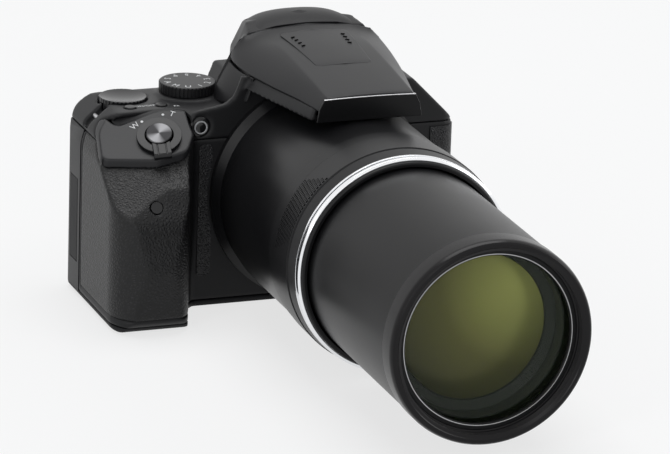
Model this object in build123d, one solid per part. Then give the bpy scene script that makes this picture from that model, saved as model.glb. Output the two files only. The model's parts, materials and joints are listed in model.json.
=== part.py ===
from build123d import *
import os
from math import atan, cos, pi, radians, sin, sqrt

# Bridge camera with a long zoom lens, in millimetres.
# +X is to the right seen from the front, +Y is towards the photographer, +Z is up.
# The origin is the mouth of the tripod socket, in the plane of the base.
# The lens points along -Y and is drawn out to its longest zoom.

# Casing
left_x = -85.2
right_x = 54.3
front_y = -22.0
rear_y = 19.0
deck_z = 74.4
deck_left_x = -75.5
deck_slope_x = -83.0
deck_slope_z = 68.0
side_top_z = 60.0
deck_rear_r = 5.0
shoulder_z = 82.5
shoulder_x = 37.0
shoulder_side_z = 65.0
hump_foot_x = -30.8
hump_neck_x = -27.6
rim_left_z = 75.2
rim_low_x = -36.0
rim_low_z = 77.6
rim_foot_x = -32.8
rim_foot_z = 80.5
rim_top_z = 88.0
rim_t = 2.4
parting_z = 64.8
base_t = 2.2
wall = 1.8
outline_r = 6.0
rear_left_r = 7.0
side_corner_r = 5.0
over = 1.0
seat_gap = 0.05
slide_gap = 0.2
run_gap = 0.05

# Grip
grip_front_y = -49.5
grip_inner_x = -58.0
grip_neck_x = -53.0
grip_neck_y = -31.0
grip_root_x = -48.5
grip_outer_r = 14.0
grip_inner_r = 10.0
grip_neck_r = 12.0
grip_root_r = 3.0
grip_toe_y = -43.5
grip_toe_z = 4.5
grip_toe_front_y = -47.5
grip_belly_z = 24.0
grip_brow_y = -47.5
grip_brow_z = 42.0
grip_cheek_y = -41.0
grip_cheek_z = 53.0
grip_lip_y = -31.6
grip_lip_z = 58.6
brow_point = (-66.5, -31.6, 59.0)
brow_share = (-0.250, -0.567, 0.785)
rubber_t = 1.2
rubber_z = 5.0
rubber_rear_y = -2.0

# Sloping panel on the grip, with the shutter button
shutter_x = -62.43
shutter_y = -23.5
shutter_z = 67.47
slope_share = (-0.19, -0.50, 0.845)
cap_t = 2.8
cap_gap = 0.05
cap_left_x = -85.0
cap_right_x = -49.8
rim_left_x = cap_right_x + cap_gap
cap_corner = (-81.5, -4.5)
cap_side_y = (-9.0, -25.5)
cap_front = (-66.0, -32.2)
cap_nose = (-54.0, -32.0)
cap_neck_y = (-26.0, -12.6)
cap_bay = (-62.0, -12.2)
cap_heel = (-75.5, -13.4)
cap_tight_r = 2.5
cap_lip_r = 0.9
cap_edge_r = 4.0
cap_round_r = 9.0
shutter_r = 4.9
shutter_top = 2.6
shutter_stem = 2.5
shutter_travel = 0.8
lever_r = 8.3
lever_bore_r = 5.3
lever_base = 0.3
lever_top = 1.5
lever_tab = 2.6
lever_tab_w = 6.4
lever_tab_rise = 1.0
lever_tab_deg = -103.0
lever_ridge = 0.5

# Hump with the viewfinder and the flash head
hump_x = 2.0
hump_rear_y = 19.0
hump_peak_y = 8.0
ridge_y = -1.0
visor_root_y = -22.0
visor_front_y = -70.0
hump_sink = 0.4
cheek_rise = 13.6
visor_drop = 4.8
visor_waist_rise = 0.5
hump_rear_edge_rise = 9.0
hump_rear_crown_rise = 11.8
hump_peak_edge_rise = 11.6
hump_peak_crown_rise = 15.2
ridge_edge_rise = 10.2
ridge_crown_rise = 12.0
visor_root_edge_rise = 8.6
visor_root_crown_rise = 9.6
visor_front_edge_rise = 4.0
visor_front_crown_rise = 4.6
hump_foot_z = deck_z - hump_sink
cheek_z = deck_z + cheek_rise
hump_top_z = cheek_z + hump_peak_crown_rise
visor_under_z = cheek_z - visor_drop
visor_waist_z = cheek_z + visor_waist_rise
hump_rear_half = (24.0, 23.0, 18.5)
hump_rear_level = (hump_foot_z, cheek_z, cheek_z + hump_rear_edge_rise, cheek_z + hump_rear_crown_rise)
hump_peak_half = (31.0, 25.5, 21.0)
hump_peak_level = (hump_foot_z, cheek_z, cheek_z + hump_peak_edge_rise, hump_top_z)
ridge_half = (33.5, 28.0, 23.0)
ridge_level = (hump_foot_z, cheek_z, cheek_z + ridge_edge_rise, cheek_z + ridge_crown_rise)
visor_root_half = (31.5, 27.0, 21.0)
visor_root_level = (visor_under_z, visor_waist_z, cheek_z + visor_root_edge_rise, cheek_z + visor_root_crown_rise)
visor_front_half = (20.5, 19.0, 17.0)
visor_front_level = (visor_under_z, visor_waist_z, cheek_z + visor_front_edge_rise,
                     cheek_z + visor_front_crown_rise)
flash_axis_y = -4.8
flash_axis_drop = 3.4
flash_axis_z = cheek_z + ridge_crown_rise - flash_axis_drop
flash_knuckle_r = 3.5
flash_gap = 0.25
flash_wall = 1.5
tray_floor = 1.0
plate_behind_y = -66.5
plate_t = 1.0
plate_rim = 0.8
lamp_rear_y = -53.0
lamp_front_y = -65.8
lamp_lift = 0.5
lamp_low_z = visor_under_z + tray_floor + lamp_lift
lamp_half = 14.0
lamp_gap_share = 0.25

# Mode dial and command dial on the deck
mode_x = -42.2
mode_y = 5.6
mode_r = 10.65
mode_foot_r = 11.6
mode_foot_h = 0.9
mode_h = 3.6
mode_shaft_r = 2.5
dial_lift = 0.3
mode_notches = 44
notch_r = 0.35
command_x = -67.2
command_y = 5.9
command_r = 9.0
command_proud = 0.8
command_depth = 4.0
command_shaft_r = 1.5
command_dish = 1.1
command_notches = 36
pocket_wall = 1.8
dial_boss_h = 5.4

# Push buttons on the deck and on the back
button_gap = 0.15
button_flange = 0.7
deck_flange = 0.35
button_flange_t = 0.8
button_proud = 0.6
deck_proud = 0.35
power_x = -68.3
power_y = -6.6
small_button_r = 2.2
fn_x = -56.2
fn_y = -6.2
deck_button_h = 4.2
rear_button_h = 3.7
movie_x = -44.5
movie_z = 57.5
movie_r = 3.4
display_x = -56.0
display_z = 58.5
round_button_r = 2.8
playback_x = -44.5
playback_z = 46.5
menu_x = -51.5
menu_z = 13.5
delete_x = -67.0
delete_z = 13.5
selector_x = -60.0
selector_z = 33.0
selector_r = 11.2
selector_bore_r = 5.3
selector_depth = 2.0
selector_h = 2.9
selector_boss = 3.6
selector_notches = 36
ok_r = 5.0
ok_proud = 0.3

# Strap eyelets
strap_left_x = -80.0
strap_right_x = 48.0
strap_y = 0.0
strap_l = 11.0
strap_w = 5.0
strap_depth = 3.0
strap_bar_r = 0.9
strap_wall = 1.2

# Lamp beside the lens and the receiver window in the grip
af_x = -46.0
af_z = 69.6
af_recess_r = 4.2
af_recess = 1.0
af_lamp_r = 2.75
af_lamp_dome = 0.9
window_x = -69.6
window_y = -44.3
window_z = 47.5
window_r = 2.2
window_t = 1.5
window_slope_share = (0.0, -0.86, 0.51)

# Pebbled trim
trim_t = 0.5
trim_low_z = 12.0
trim_top_z = 63.0
trim_inner_x = -41.2
trim_outer_x = -46.4
trim_r = 2.0
side_trim_low_z = 8.0
side_trim_x = 44.5
side_trim_rear_y = -3.0

# Fixed lens barrel, each radius a step from the bore
axis_z = 42.5
barrel_bore_r = 37.7
spigot_wall = 1.1
barrel_spigot_r = barrel_bore_r + spigot_wall
barrel_step = 1.4
barrel_r = barrel_spigot_r + barrel_step
barrel_rear_y = -19.0
collar_step = 1.8
collar_r = barrel_r + collar_step
collar_front_y = -24.5
neck_drop = 0.8
neck_r = barrel_r - neck_drop
neck_rear_y = -27.0
neck_front_y = -33.5
rim_y = -35.5
ring_rear_y = -85.0
ring_step = 1.0
ring_r = barrel_r + ring_step
ring_step_y = -97.5
ring_front_y = -112.5
ring_taper = 0.9
ring_front_r = ring_r - ring_taper
ring_groove = 0.35
barrel_front_y = -111.0
chrome_step = 0.3
chrome_r = barrel_r + chrome_step
chrome_front_y = -114.9
chrome_groove = 0.6
chrome_shares = (0.35, 0.6)
lip_y = -116.4
lip_step = 0.1
lip_r = barrel_r + lip_step
lip_taper = 1.2
lip_front_r = lip_r - lip_taper
lip_t = 0.45
lip_bore_r = barrel_bore_r - lip_t
lip_sleeve_y = -100.4

# Zoom tube, front ring and front lens
zoom_travel = 83.6
tube_gap = 0.65
tube_r = lip_bore_r - tube_gap
tube_wall = 1.4
tube_bore_r = tube_r - tube_wall
tube_front_y = -191.0
tube_rear_y = -95.4
tube_flange_gap = 0.25
tube_flange_r = barrel_bore_r - tube_flange_gap
tube_flange_l = 4.0
ring_face_y = -200.0
ring_edge_step = 0.4
ring_edge_r = tube_r + ring_edge_step
ring_chamfer = 0.5
thread_r = 33.1
thread_l = 4.2
seat_step = 0.5
seat_r = thread_r - seat_step
ring_tail_y = -186.0
ring_tail_r = tube_bore_r - seat_gap
shelf_w = 1.6
shelf_r = seat_r - shelf_w
shelf_y = -188.4
lens_edge_y = -192.8
lens_crown = 2.2
lens_r = seat_r - slide_gap
keeper_w = 2.4
keeper_r = seat_r - keeper_w
keeper_front_y = -195.5

# Zoom drive inside the barrel
cam_gap = 0.3
cam_r = tube_bore_r - cam_gap
cam_wall = 1.1
cam_bore_r = cam_r - cam_wall
cam_front_y = -100.0
cam_rear_y = -6.4
cam_turn_deg = 150.0
guide_r = cam_bore_r - slide_gap
guide_wall = 1.4
guide_bore_r = guide_r - guide_wall
guide_front_y = -100.5
follower_r = 1.2
follower_count = 3
follower_tip = 0.3
slot_gap = 0.15
slot_run = 0.5
module = 0.75
cam_teeth = 98
pinion_teeth = 12
gear_front_y = -10.6
gear_rear_y = -7.4
gear_backlash = 0.16
gear_tip = 0.5
pinion_tip = 0.6
gear_root = 0.85
pressure_deg = 20.0
flank_steps = 3
motor_deg = -32.0
motor_r = 5.2
motor_l = 12.0
motor_shaft_r = 0.75
cell_front_y = -80.0
cell_l = 18.0
cell_gap = 0.35
cell_r = guide_bore_r - cell_gap
cell_glass_r = 22.0
rear_cell_front_y = -20.0
chassis_front_y = -6.0
chassis_t = 1.6
chassis_left_x = -38.0
chassis_right_x = 47.5
chassis_low_z = 9.5
boss_r = 2.6
boss_inset = 4.2
post_r = 1.6
sensor_w = 20.0
sensor_h = 16.0
sensor_t = 2.6
board_y = 1.6
board_t = 1.2
board_left_x = -34.0
board_right_x = 26.0
board_low_z = 12.0
board_top_z = 60.0
chip_t = 1.4
chip_shares = ((0.5, 0.55, 0.24, 0.3), (0.2, 0.3, 0.16, 0.2), (0.8, 0.25, 0.14, 0.16))
evf_half = 10.5
evf_l = 16.0
evf_lift = 6.6
evf_rise = 7.4
evf_low_z = deck_z + evf_lift
evf_top_z = cheek_z + evf_rise

# Eyepiece
eyecup_half = 14.0
eyecup_drop = 6.5
eyecup_rise = 10.0
eyecup_low_z = cheek_z - eyecup_drop
eyecup_top_z = cheek_z + eyecup_rise
eyecup_rear_y = 21.0
eyecup_r = 4.0
eye_half = 9.5
eye_drop = 3.5
eye_rise = 7.5
eye_low_z = cheek_z - eye_drop
eye_top_z = cheek_z + eye_rise
eye_r = 3.0
eye_glass_t = 1.2
monitor_x = -16.2
monitor_z = cheek_z - eye_drop
dioptre_y = 12.0
dioptre_z = cheek_z
dioptre_r = 3.6
dioptre_x = 27.3
dioptre_t = 3.0
dioptre_notches = 20
flash_button_y = 3.4
flash_button_drop = 3.0
flash_button_z = cheek_z - flash_button_drop
flash_button_r = 2.8
flash_button_x = 31.6
flash_button_l = 6.3
side_button_hole = 6.5

# Side zoom rocker and snap-back button on the barrel
rocker_travel_gap = 0.8
rocker_front_y = -58.0
rocker_rear_y = -42.0
rocker_floor = 0.45
rocker_floor_r = barrel_bore_r + rocker_floor
rocker_low_r = rocker_floor_r + rocker_travel_gap
rocker_proud = 0.8
rocker_top_r = barrel_r + rocker_proud
rocker_thumb_r = 2.3
rocker_thumb = 0.3
rocker_deg = 11.0
rocker_side_deg = 3.4
rocker_side_gap = 0.4
snap_y = -68.0
snap_r = 4.0
snap_floor = 0.35
snap_floor_x = barrel_bore_r + snap_floor
snap_travel_gap = 0.85
snap_low_x = snap_floor_x + snap_travel_gap
snap_proud = 1.4
snap_top_x = barrel_r + snap_proud

# Base, tripod socket, battery and its door
socket_r = 5.5
socket_h = 7.5
socket_bore_r = 2.55
socket_depth = 6.0
door_left_x = -80.3
door_hinge_x = -60.3
door_front_y = -39.0
door_rear_y = -4.0
door_low_z = 0.2
door_gap = 0.25
door_r = 3.0
latch_x = -78.0
latch_l = 4.6
latch_w = 8.0
latch_t = 1.0
latch_travel = 2.4
latch_grooves = 3
battery_t = 10.4
battery_w = 34.0
battery_h = 45.0
battery_x = -71.8
battery_rear_y = -4.6
battery_r = 2.0
screw_r = 1.1
screw_head_r = 2.0
screw_head_t = 0.9
screw_l = 3.7
screw_inset_x = 9.0
screw_inset_y = 6.5
screw_left_x = -40.0

# Screen on the back
recess_left_x = -35.0
recess_low_z = 4.4
recess_top_z = 63.0
recess_y = 11.8
recess_floor = 1.8
screen_gap = 0.4
screen_edge_x = 47.2
screen_hinge_x = 51.0
screen_hinge_y = 15.8
screen_knuckle_r = 3.0
screen_knuckle_low = 14.0
screen_knuckle_top = 53.0
screen_pin_r = 1.2
screen_r = 3.0
glass_border = 3.2
glass_t = 0.6

# Sockets and their cover on the grip side
cover_front_y = 2.4
cover_rear_y = 11.0
cover_low_z = 13.0
cover_top_z = 45.0
cover_t = 1.6
cover_gap = 0.2
socket_block = 2.8
port_depth = 2.0
port_w = 2.8
port_h = 8.0
port_shares = (0.28, 0.72)

# Thumb rest on the back
thumb_t = 1.5
thumb_left_x = -81.5
thumb_right_x = -64.0
thumb_low_z = 47.0
thumb_top_z = 62.5
thumb_r = 5.0

lens_dir = (0, -1, 0)

os.makedirs("parts", exist_ok=True)


def flat(points, radii):
    """Closed outline of straight sides with a rounding at each corner."""
    return make_face(FilletPolyline(*points, radius=radii, close=True))


def prism_x(face, x0, x1):
    """Sweep a (Y, Z) outline from x0 to x1."""
    return extrude(Plane.YZ.offset(x0) * face, amount=x1 - x0)


def prism_y(face, y0, y1):
    """Sweep an (X, Z) outline from y1 forward to y0."""
    return extrude(Plane.XZ.offset(-y1) * face, amount=y1 - y0)


def prism_z(face, z0, z1):
    """Sweep an (X, Y) outline from z0 up to z1."""
    return extrude(Plane.XY.offset(z0) * face, amount=z1 - z0)


def block(x0, x1, y0, y1, z0, z1):
    """Box between two corners."""
    centre = Pos((x0 + x1) / 2, (y0 + y1) / 2, (z0 + z1) / 2)
    return centre * Box(x1 - x0, y1 - y0, z1 - z0)


def rod(start, along, r, length):
    """Round bar from a point along a direction."""
    bar = Cylinder(r, length, align=(Align.CENTER, Align.CENTER, Align.MIN))
    return Plane(origin=start, z_dir=along) * bar


def lens_turn(points):
    """Turn a (Y, radius) outline about the lens axis."""
    outline = Polyline(*[(y, axis_z + r) for y, r in points], close=True)
    profile = Plane.YZ * make_face(outline)
    return revolve(profile, axis=Axis((0, 0, axis_z), (0, 1, 0)))


def lens_tube(r_in, r_out, y0, y1):
    """Plain tube about the lens axis."""
    return lens_turn([(y0, r_in), (y1, r_in), (y1, r_out), (y0, r_out)])


def about_lens(shape, angle):
    """Turn a shape about the lens axis."""
    return shape.rotate(Axis((0, 0, axis_z), (0, 1, 0)), angle)


# Outlines of the casing
def front_outline():
    points = [
        (left_x, 0),
        (right_x, 0),
        (right_x, shoulder_side_z),
        (shoulder_x, shoulder_z),
        (hump_neck_x, shoulder_z),
        (hump_foot_x, deck_z),
        (deck_left_x, deck_z),
        (deck_slope_x, deck_slope_z),
        (left_x, side_top_z),
    ]
    radii = [base_t, base_t, outline_r, outline_r / 2, 0, 0, outline_r, outline_r, 2 * outline_r]
    return flat(points, radii)


def plan_outline():
    points = [
        (left_x, rear_y),
        (left_x, grip_front_y),
        (grip_inner_x, grip_front_y),
        (grip_neck_x, grip_neck_y),
        (grip_root_x, front_y),
        (right_x, front_y),
        (right_x, rear_y),
    ]
    radii = [rear_left_r, grip_outer_r, grip_inner_r, grip_neck_r, grip_root_r, side_corner_r, side_corner_r]
    return flat(points, radii)


def grip_side_outline():
    points = [
        (rear_y, 0),
        (grip_toe_y, 0),
        (grip_toe_front_y, grip_toe_z),
        (grip_front_y, grip_belly_z),
        (grip_brow_y, grip_brow_z),
        (grip_cheek_y, grip_cheek_z),
        (grip_lip_y, grip_lip_z),
        (front_y, deck_z),
        (rear_y, deck_z),
    ]
    radii = [0, grip_toe_z / 2, grip_toe_z, 4 * grip_toe_z, 3 * grip_toe_z, grip_toe_z, 0, 0, 0]
    return flat(points, radii)


def shrink(face, inset):
    """Outline drawn in by an even distance."""
    return offset(face, amount=-inset) if inset > 0 else face


slope = Vector(*slope_share).normalized()
slope_plane = Plane(
    origin=(shutter_x, shutter_y, shutter_z),
    x_dir=(slope.Z, 0, -slope.X),
    z_dir=slope,
)


def cap_outline(grow):
    """Plan of the smooth cap on the grip: side, nose beside the lens and the bay round the deck."""
    points = [
        cap_corner,
        (cap_left_x, cap_side_y[0]),
        (cap_left_x, cap_side_y[1]),
        cap_front,
        cap_nose,
        (cap_right_x, cap_neck_y[0]),
        (cap_right_x, cap_neck_y[1]),
        cap_bay,
        cap_heel,
    ]
    radii = [cap_tight_r, cap_edge_r, cap_edge_r, cap_round_r, cap_edge_r, cap_edge_r, cap_edge_r,
             cap_round_r, cap_edge_r]
    outline = flat(points, radii)
    return offset(outline, amount=grow) if grow > 0 else outline


def above_slope(depth):
    """Room of the cap: above its sloping face lowered by a depth, out to the side and the front."""
    reach = rear_y - grip_front_y
    slab = slope_plane.offset(-depth) * Box(
        2 * reach, 2 * reach, reach, align=(Align.CENTER, Align.CENTER, Align.MIN)
    )
    room = prism_z(cap_outline(cap_gap), 0, hump_top_z)
    room = room + block(left_x - over, cap_front[0], grip_front_y - over, cap_side_y[1], 0, hump_top_z)
    room = room + block(cap_front[0] - over, cap_right_x, grip_front_y - over, cap_nose[1], 0, hump_top_z)
    room = room + block(left_x - over, cap_left_x, grip_front_y, cap_side_y[0], 0, hump_top_z)
    return slab & room


def above_brow(depth):
    """Space above the flat that leads from the cap's lip down the outer front of the grip."""
    reach = rear_y - grip_front_y
    brow = Plane(origin=brow_point, z_dir=brow_share).offset(-depth)
    slab = brow * Box(2 * reach, 2 * reach, reach, align=(Align.CENTER, Align.CENTER, Align.MIN))
    return slab & block(left_x - over, cap_right_x, grip_front_y - over, cap_side_y[1], 0, hump_top_z)


def shutter_hole():
    """Hole for the shutter button, deep enough for its stem and travel under the cap."""
    deep = cap_t + shutter_stem + shutter_travel
    return slope_plane * Cylinder(shutter_r + button_gap, 2 * deep)


def rear_edge(inset):
    """Corner that the rounded rear edge of the deck leaves free."""
    r = deck_rear_r - inset
    y, z = rear_y - deck_rear_r, deck_z - deck_rear_r
    corner = block(left_x - over, hump_foot_x, y, rear_y + over, z, shoulder_z)
    return corner - rod((left_x - over, y, z), (1, 0, 0), r, hump_foot_x - left_x + over)


def trunk(inset):
    """Main part of the casing, without the grip."""
    across = prism_y(shrink(front_outline(), inset), front_y + inset, rear_y - inset)
    around = prism_z(shrink(plan_outline(), inset), 0, hump_top_z)
    return across & around


def grip(inset):
    """Grip with its sloping top, drawn in by an even distance."""
    along = prism_x(shrink(grip_side_outline(), inset), left_x + inset, grip_root_x + outline_r)
    around = prism_z(shrink(plan_outline(), inset), 0, deck_z)
    across = prism_y(shrink(front_outline(), inset), grip_front_y, 0)
    return along & around & across


def casing(inset):
    """Whole casing without the hump; the grip is drawn in by the rubber too when hollow."""
    skin = rubber_t if inset > 0 else 0
    body = trunk(inset)
    if inset > 0:
        body = body & block(left_x + inset + skin, right_x, front_y, rear_y, 0, shoulder_z)
    body = body + grip(inset + skin)
    if inset > 0:
        floor = prism_z(shrink(plan_outline(), inset + skin), inset, grip_belly_z)
        body = body + (floor & block(left_x, right_x, grip_toe_y + inset, rubber_rear_y, 0, grip_belly_z))
    return body - above_slope(cap_t + inset + skin) - above_brow(inset + skin) - rear_edge(inset)


# Hump: flat-sided sections joined in straight lines
def hump_section(half, level, y, inset):
    """Crowned section at y: half widths at the foot, waist and top, and their levels."""
    foot, waist, top = (w - inset for w in half)
    foot_z, waist_z, top_z, crown_z = level
    drop = inset
    corners = [
        (hump_x - foot, foot_z),
        (hump_x + foot, foot_z),
        (hump_x + waist, waist_z),
        (hump_x + top, top_z - drop),
        (hump_x, crown_z - drop),
        (hump_x - top, top_z - drop),
        (hump_x - waist, waist_z),
    ]
    return Plane.XZ.offset(-y) * make_face(Polyline(*corners, close=True))


def hump_rear(inset):
    """Viewfinder part, behind the ridge."""
    y_back = hump_rear_y - inset
    sections = [
        hump_section(hump_rear_half, hump_rear_level, y_back, inset),
        hump_section(hump_peak_half, hump_peak_level, hump_peak_y, inset),
        hump_section(ridge_half, ridge_level, ridge_y, inset),
    ]
    return loft(sections, ruled=True)


def hump_front(inset):
    """Visor part, in front of the ridge."""
    sections = [
        hump_section(ridge_half, ridge_level, ridge_y, inset),
        hump_section(visor_root_half, visor_root_level, visor_root_y, inset),
        hump_section(visor_front_half, visor_front_level, visor_front_y + inset, inset),
    ]
    return loft(sections, ruled=True)


def flash_space(gap):
    """Space of the flash head: ahead of its hinge, above the cheeks, and the whole front plate."""
    wide = ridge_half[0] + outline_r
    top = hump_top_z
    x0, x1 = hump_x - wide, hump_x + wide
    upper = block(x0, x1, visor_front_y - over, flash_axis_y + gap, cheek_z - gap, top)
    plate = block(x0, x1, visor_front_y - over, plate_behind_y + gap, axis_z, top)
    knuckle = rod((x0, flash_axis_y, flash_axis_z), (1, 0, 0), flash_knuckle_r + gap, x1 - x0)
    return upper + plate + knuckle


def eye_hole():
    """Outline of the eyepiece opening, in (X, Z)."""
    points = [
        (hump_x - eye_half, eye_low_z),
        (hump_x + eye_half, eye_low_z),
        (hump_x + eye_half, eye_top_z),
        (hump_x - eye_half, eye_top_z),
    ]
    return flat(points, [eye_r] * 4)


# Deck controls
def knurled(r, z0, z1, count):
    """Disc about Z at the origin with round notches in its edge."""
    disc = rod((0, 0, z0), (0, 0, 1), r, z1 - z0)
    disc = chamfer(disc.edges().group_by(Axis.Z)[-1], notch_r)
    notch = rod((r, 0, z0 - over), (0, 0, 1), notch_r, z1 - z0 + 2 * over)
    cutters = [notch.rotate(Axis.Z, 360 * i / count) for i in range(count)]
    return disc - cutters


def make_mode_dial():
    low = deck_z + mode_foot_h + dial_lift
    dial = knurled(mode_r, low, low + mode_h, mode_notches)
    shaft = rod((0, 0, deck_z - dial_boss_h), (0, 0, 1), mode_shaft_r, dial_boss_h + mode_foot_h + dial_lift)
    return Pos(mode_x, mode_y, 0) * (dial + shaft)


def make_command_dial():
    low = deck_z - command_depth + dial_lift
    top = deck_z + command_proud
    dial = knurled(command_r, low, top, command_notches)
    ball_r = (command_r**2 + command_dish**2) / (2 * command_dish)
    dish = Pos(0, 0, top + ball_r - command_dish) * Sphere(ball_r)
    shaft = rod((0, 0, low - pocket_wall), (0, 0, 1), command_shaft_r, pocket_wall)
    return Pos(command_x, command_y, 0) * (dial - dish + shaft)


def push_button(start, along, r, length, flange=button_flange):
    """Button with a low dome and a flange that keeps it behind its hole."""
    body = rod(start, along, r, length)
    body = chamfer(body.edges().filter_by(GeomType.CIRCLE).sort_by_distance(start)[-1], r / 8)
    return body + rod(start, along, r + flange, button_flange_t)


def deck_button(x, y):
    start = (x, y, deck_z + deck_proud - deck_button_h)
    return push_button(start, (0, 0, 1), small_button_r, deck_button_h, deck_flange)


def deck_hole(x, y):
    """Hole for a deck button, wider below for its flange."""
    hole = rod((x, y, deck_z - 2 * deck_button_h), (0, 0, 1), small_button_r + button_gap, 4 * deck_button_h)
    below = rod((x, y, deck_z - 2 * deck_button_h), (0, 0, 1), small_button_r + deck_flange + button_gap,
                2 * deck_button_h - wall)
    return hole + below


def rear_button(x, z, r, face_y):
    return push_button((x, face_y + button_proud - rear_button_h, z), (0, 1, 0), r, rear_button_h)


def rear_hole(x, z, r, face_y):
    return rod((x, face_y - rear_button_h, z), (0, 1, 0), r + button_gap, 2 * rear_button_h)


def strap_frame(x):
    """Local frame on the shoulder's slope, with Z out of the casing."""
    if x < 0:
        run = (deck_left_x - deck_slope_x, deck_z - deck_slope_z)
        z = deck_slope_z + (x - deck_slope_x) * run[1] / run[0]
        out = (-run[1], 0, run[0])
    else:
        run = (right_x - shoulder_x, shoulder_side_z - shoulder_z)
        z = shoulder_z + (x - shoulder_x) * run[1] / run[0]
        out = (-run[1], 0, run[0])
    return Plane(origin=(x, strap_y, z), x_dir=(out[2], 0, -out[0]), z_dir=out)


def strap_pocket(x, grow):
    size = (strap_l + 2 * grow, strap_w + 2 * grow, 2 * (strap_depth + grow))
    return strap_frame(x) * Box(*size)


def make_strap_bars():
    bars = []
    for x in (strap_left_x, strap_right_x):
        frame = strap_frame(x)
        start = frame.from_local_coords(Vector(0, -strap_w / 2, -strap_depth / 2))
        bars.append(rod(start, frame.y_dir, strap_bar_r, strap_w))
    return Compound(children=bars)


def front_rim():
    """Low wall along the front of the deck, which climbs into the foot of the hump."""
    outline = flat(
        [(rim_left_x, parting_z), (rim_left_x, rim_left_z), (rim_low_x, rim_low_z), (rim_foot_x, rim_foot_z),
         (hump_neck_x - rim_t, rim_top_z), (hump_neck_x, rim_top_z), (hump_neck_x, parting_z)],
        [0, rim_t, outline_r, outline_r / 2, 0, 0, 0],
    )
    return prism_y(outline, front_y, front_y + rim_t)


def make_top_cover(outer, hollow):
    """Deck, shoulders, viewfinder hump and the fixed cheeks under the flash head."""
    wide = ridge_half[0] + outline_r
    visor = hump_front(0)
    tray_hollow = hump_front(flash_wall) & block(
        hump_x - wide, hump_x + wide, visor_front_y - over, flash_axis_y - flash_knuckle_r,
        visor_under_z + tray_floor, hump_top_z
    )
    rear_hollow = hump_rear(wall)
    neck_hollow = block(
        hump_x - evf_half - wall, hump_x + evf_half + wall, visor_root_y + wall, hump_rear_y - wall - slide_gap,
        parting_z, shoulder_z,
    )
    cover = outer + hump_rear(0) + visor + front_rim()
    cover = cover - hollow - rear_hollow - neck_hollow - tray_hollow
    cups = rod((command_x, command_y, deck_z - command_depth - pocket_wall), (0, 0, 1),
               command_r + slide_gap + pocket_wall, command_depth + pocket_wall)
    cups = cups + rod((mode_x, mode_y, deck_z - dial_boss_h), (0, 0, 1), 2 * mode_shaft_r, dial_boss_h)
    for x in (strap_left_x, strap_right_x):
        cups = cups + strap_pocket(x, strap_wall)
    cover = cover + (cups & outer)
    cover = cover + rod((mode_x, mode_y, deck_z), (0, 0, 1), mode_foot_r, mode_foot_h)
    cover = cover & block(left_x, right_x, visor_front_y, rear_y, parting_z, hump_top_z)
    cover = cover - flash_space(flash_gap)
    saddle = lens_tube(collar_r + door_gap, collar_r + door_gap + tray_floor, neck_rear_y, front_y)
    cover = cover + (saddle & visor)
    cover = cover - rod((0, neck_rear_y, axis_z), (0, 1, 0), collar_r + door_gap, front_y - neck_rear_y)
    cover = cover - rod((0, front_y - over, axis_z), (0, 1, 0), barrel_spigot_r + seat_gap, 2 * wall + over)
    cover = cover - rod((command_x, command_y, deck_z - command_depth), (0, 0, 1),
                        command_r + slide_gap, 2 * command_depth)
    cover = cover - rod((command_x, command_y, deck_z - 2 * command_depth), (0, 0, 1),
                        command_shaft_r + run_gap, 2 * command_depth)
    cover = cover - rod((mode_x, mode_y, deck_z - 2 * dial_boss_h), (0, 0, 1),
                        mode_shaft_r + run_gap, 3 * dial_boss_h)
    cover = cover - deck_hole(power_x, power_y) - deck_hole(fn_x, fn_y)
    for x in (strap_left_x, strap_right_x):
        cover = cover - strap_pocket(x, 0)
    cover = cover - prism_y(eye_hole(), hump_rear_y - 2 * wall, hump_rear_y + over)
    cover = cover - rear_hole(monitor_x, monitor_z, small_button_r, hump_rear_y)
    cover = cover - rod((flash_button_x - side_button_hole, flash_button_y, flash_button_z), (1, 0, 0),
                        flash_button_r + button_gap, 2 * side_button_hole)
    cover = cover - rod((dioptre_x - dioptre_t - dial_lift, dioptre_y, dioptre_z), (1, 0, 0),
                        dioptre_r + slide_gap, side_button_hole)
    lamp_hole = rod((af_x, front_y + 2 * wall, af_z), lens_dir, af_lamp_r + seat_gap, 3 * wall)
    lamp_dish = rod((af_x, front_y + af_recess, af_z), lens_dir, af_recess_r, 2 * af_recess)
    cover = cover - lamp_hole - lamp_dish
    return cover - shutter_hole()


def make_flash_head():
    visor = hump_front(0) & flash_space(0)
    inside = hump_front(flash_wall) - rod(
        (hump_x - ridge_half[0], flash_axis_y, flash_axis_z), (1, 0, 0), flash_knuckle_r, 2 * ridge_half[0]
    )
    head = visor - inside
    head = head & block(hump_x - ridge_half[0], hump_x + ridge_half[0], visor_front_y, ridge_y,
                        visor_under_z, hump_top_z)
    return head - make_flash_plate(seat_gap)


def make_flash_plate(grow):
    """Gloss plate let into the front of the flash head."""
    foot, waist, top = (w - plate_rim + grow for w in visor_front_half)
    foot_z, waist_z, top_z, _ = visor_front_level
    outline = Polyline(
        (hump_x - foot, foot_z + plate_rim - grow),
        (hump_x + foot, foot_z + plate_rim - grow),
        (hump_x + waist, waist_z),
        (hump_x + top, top_z - plate_rim + grow),
        (hump_x - top, top_z - plate_rim + grow),
        (hump_x - waist, waist_z),
        close=True,
    )
    return prism_y(make_face(outline), visor_front_y, visor_front_y + plate_t + grow)


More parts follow.
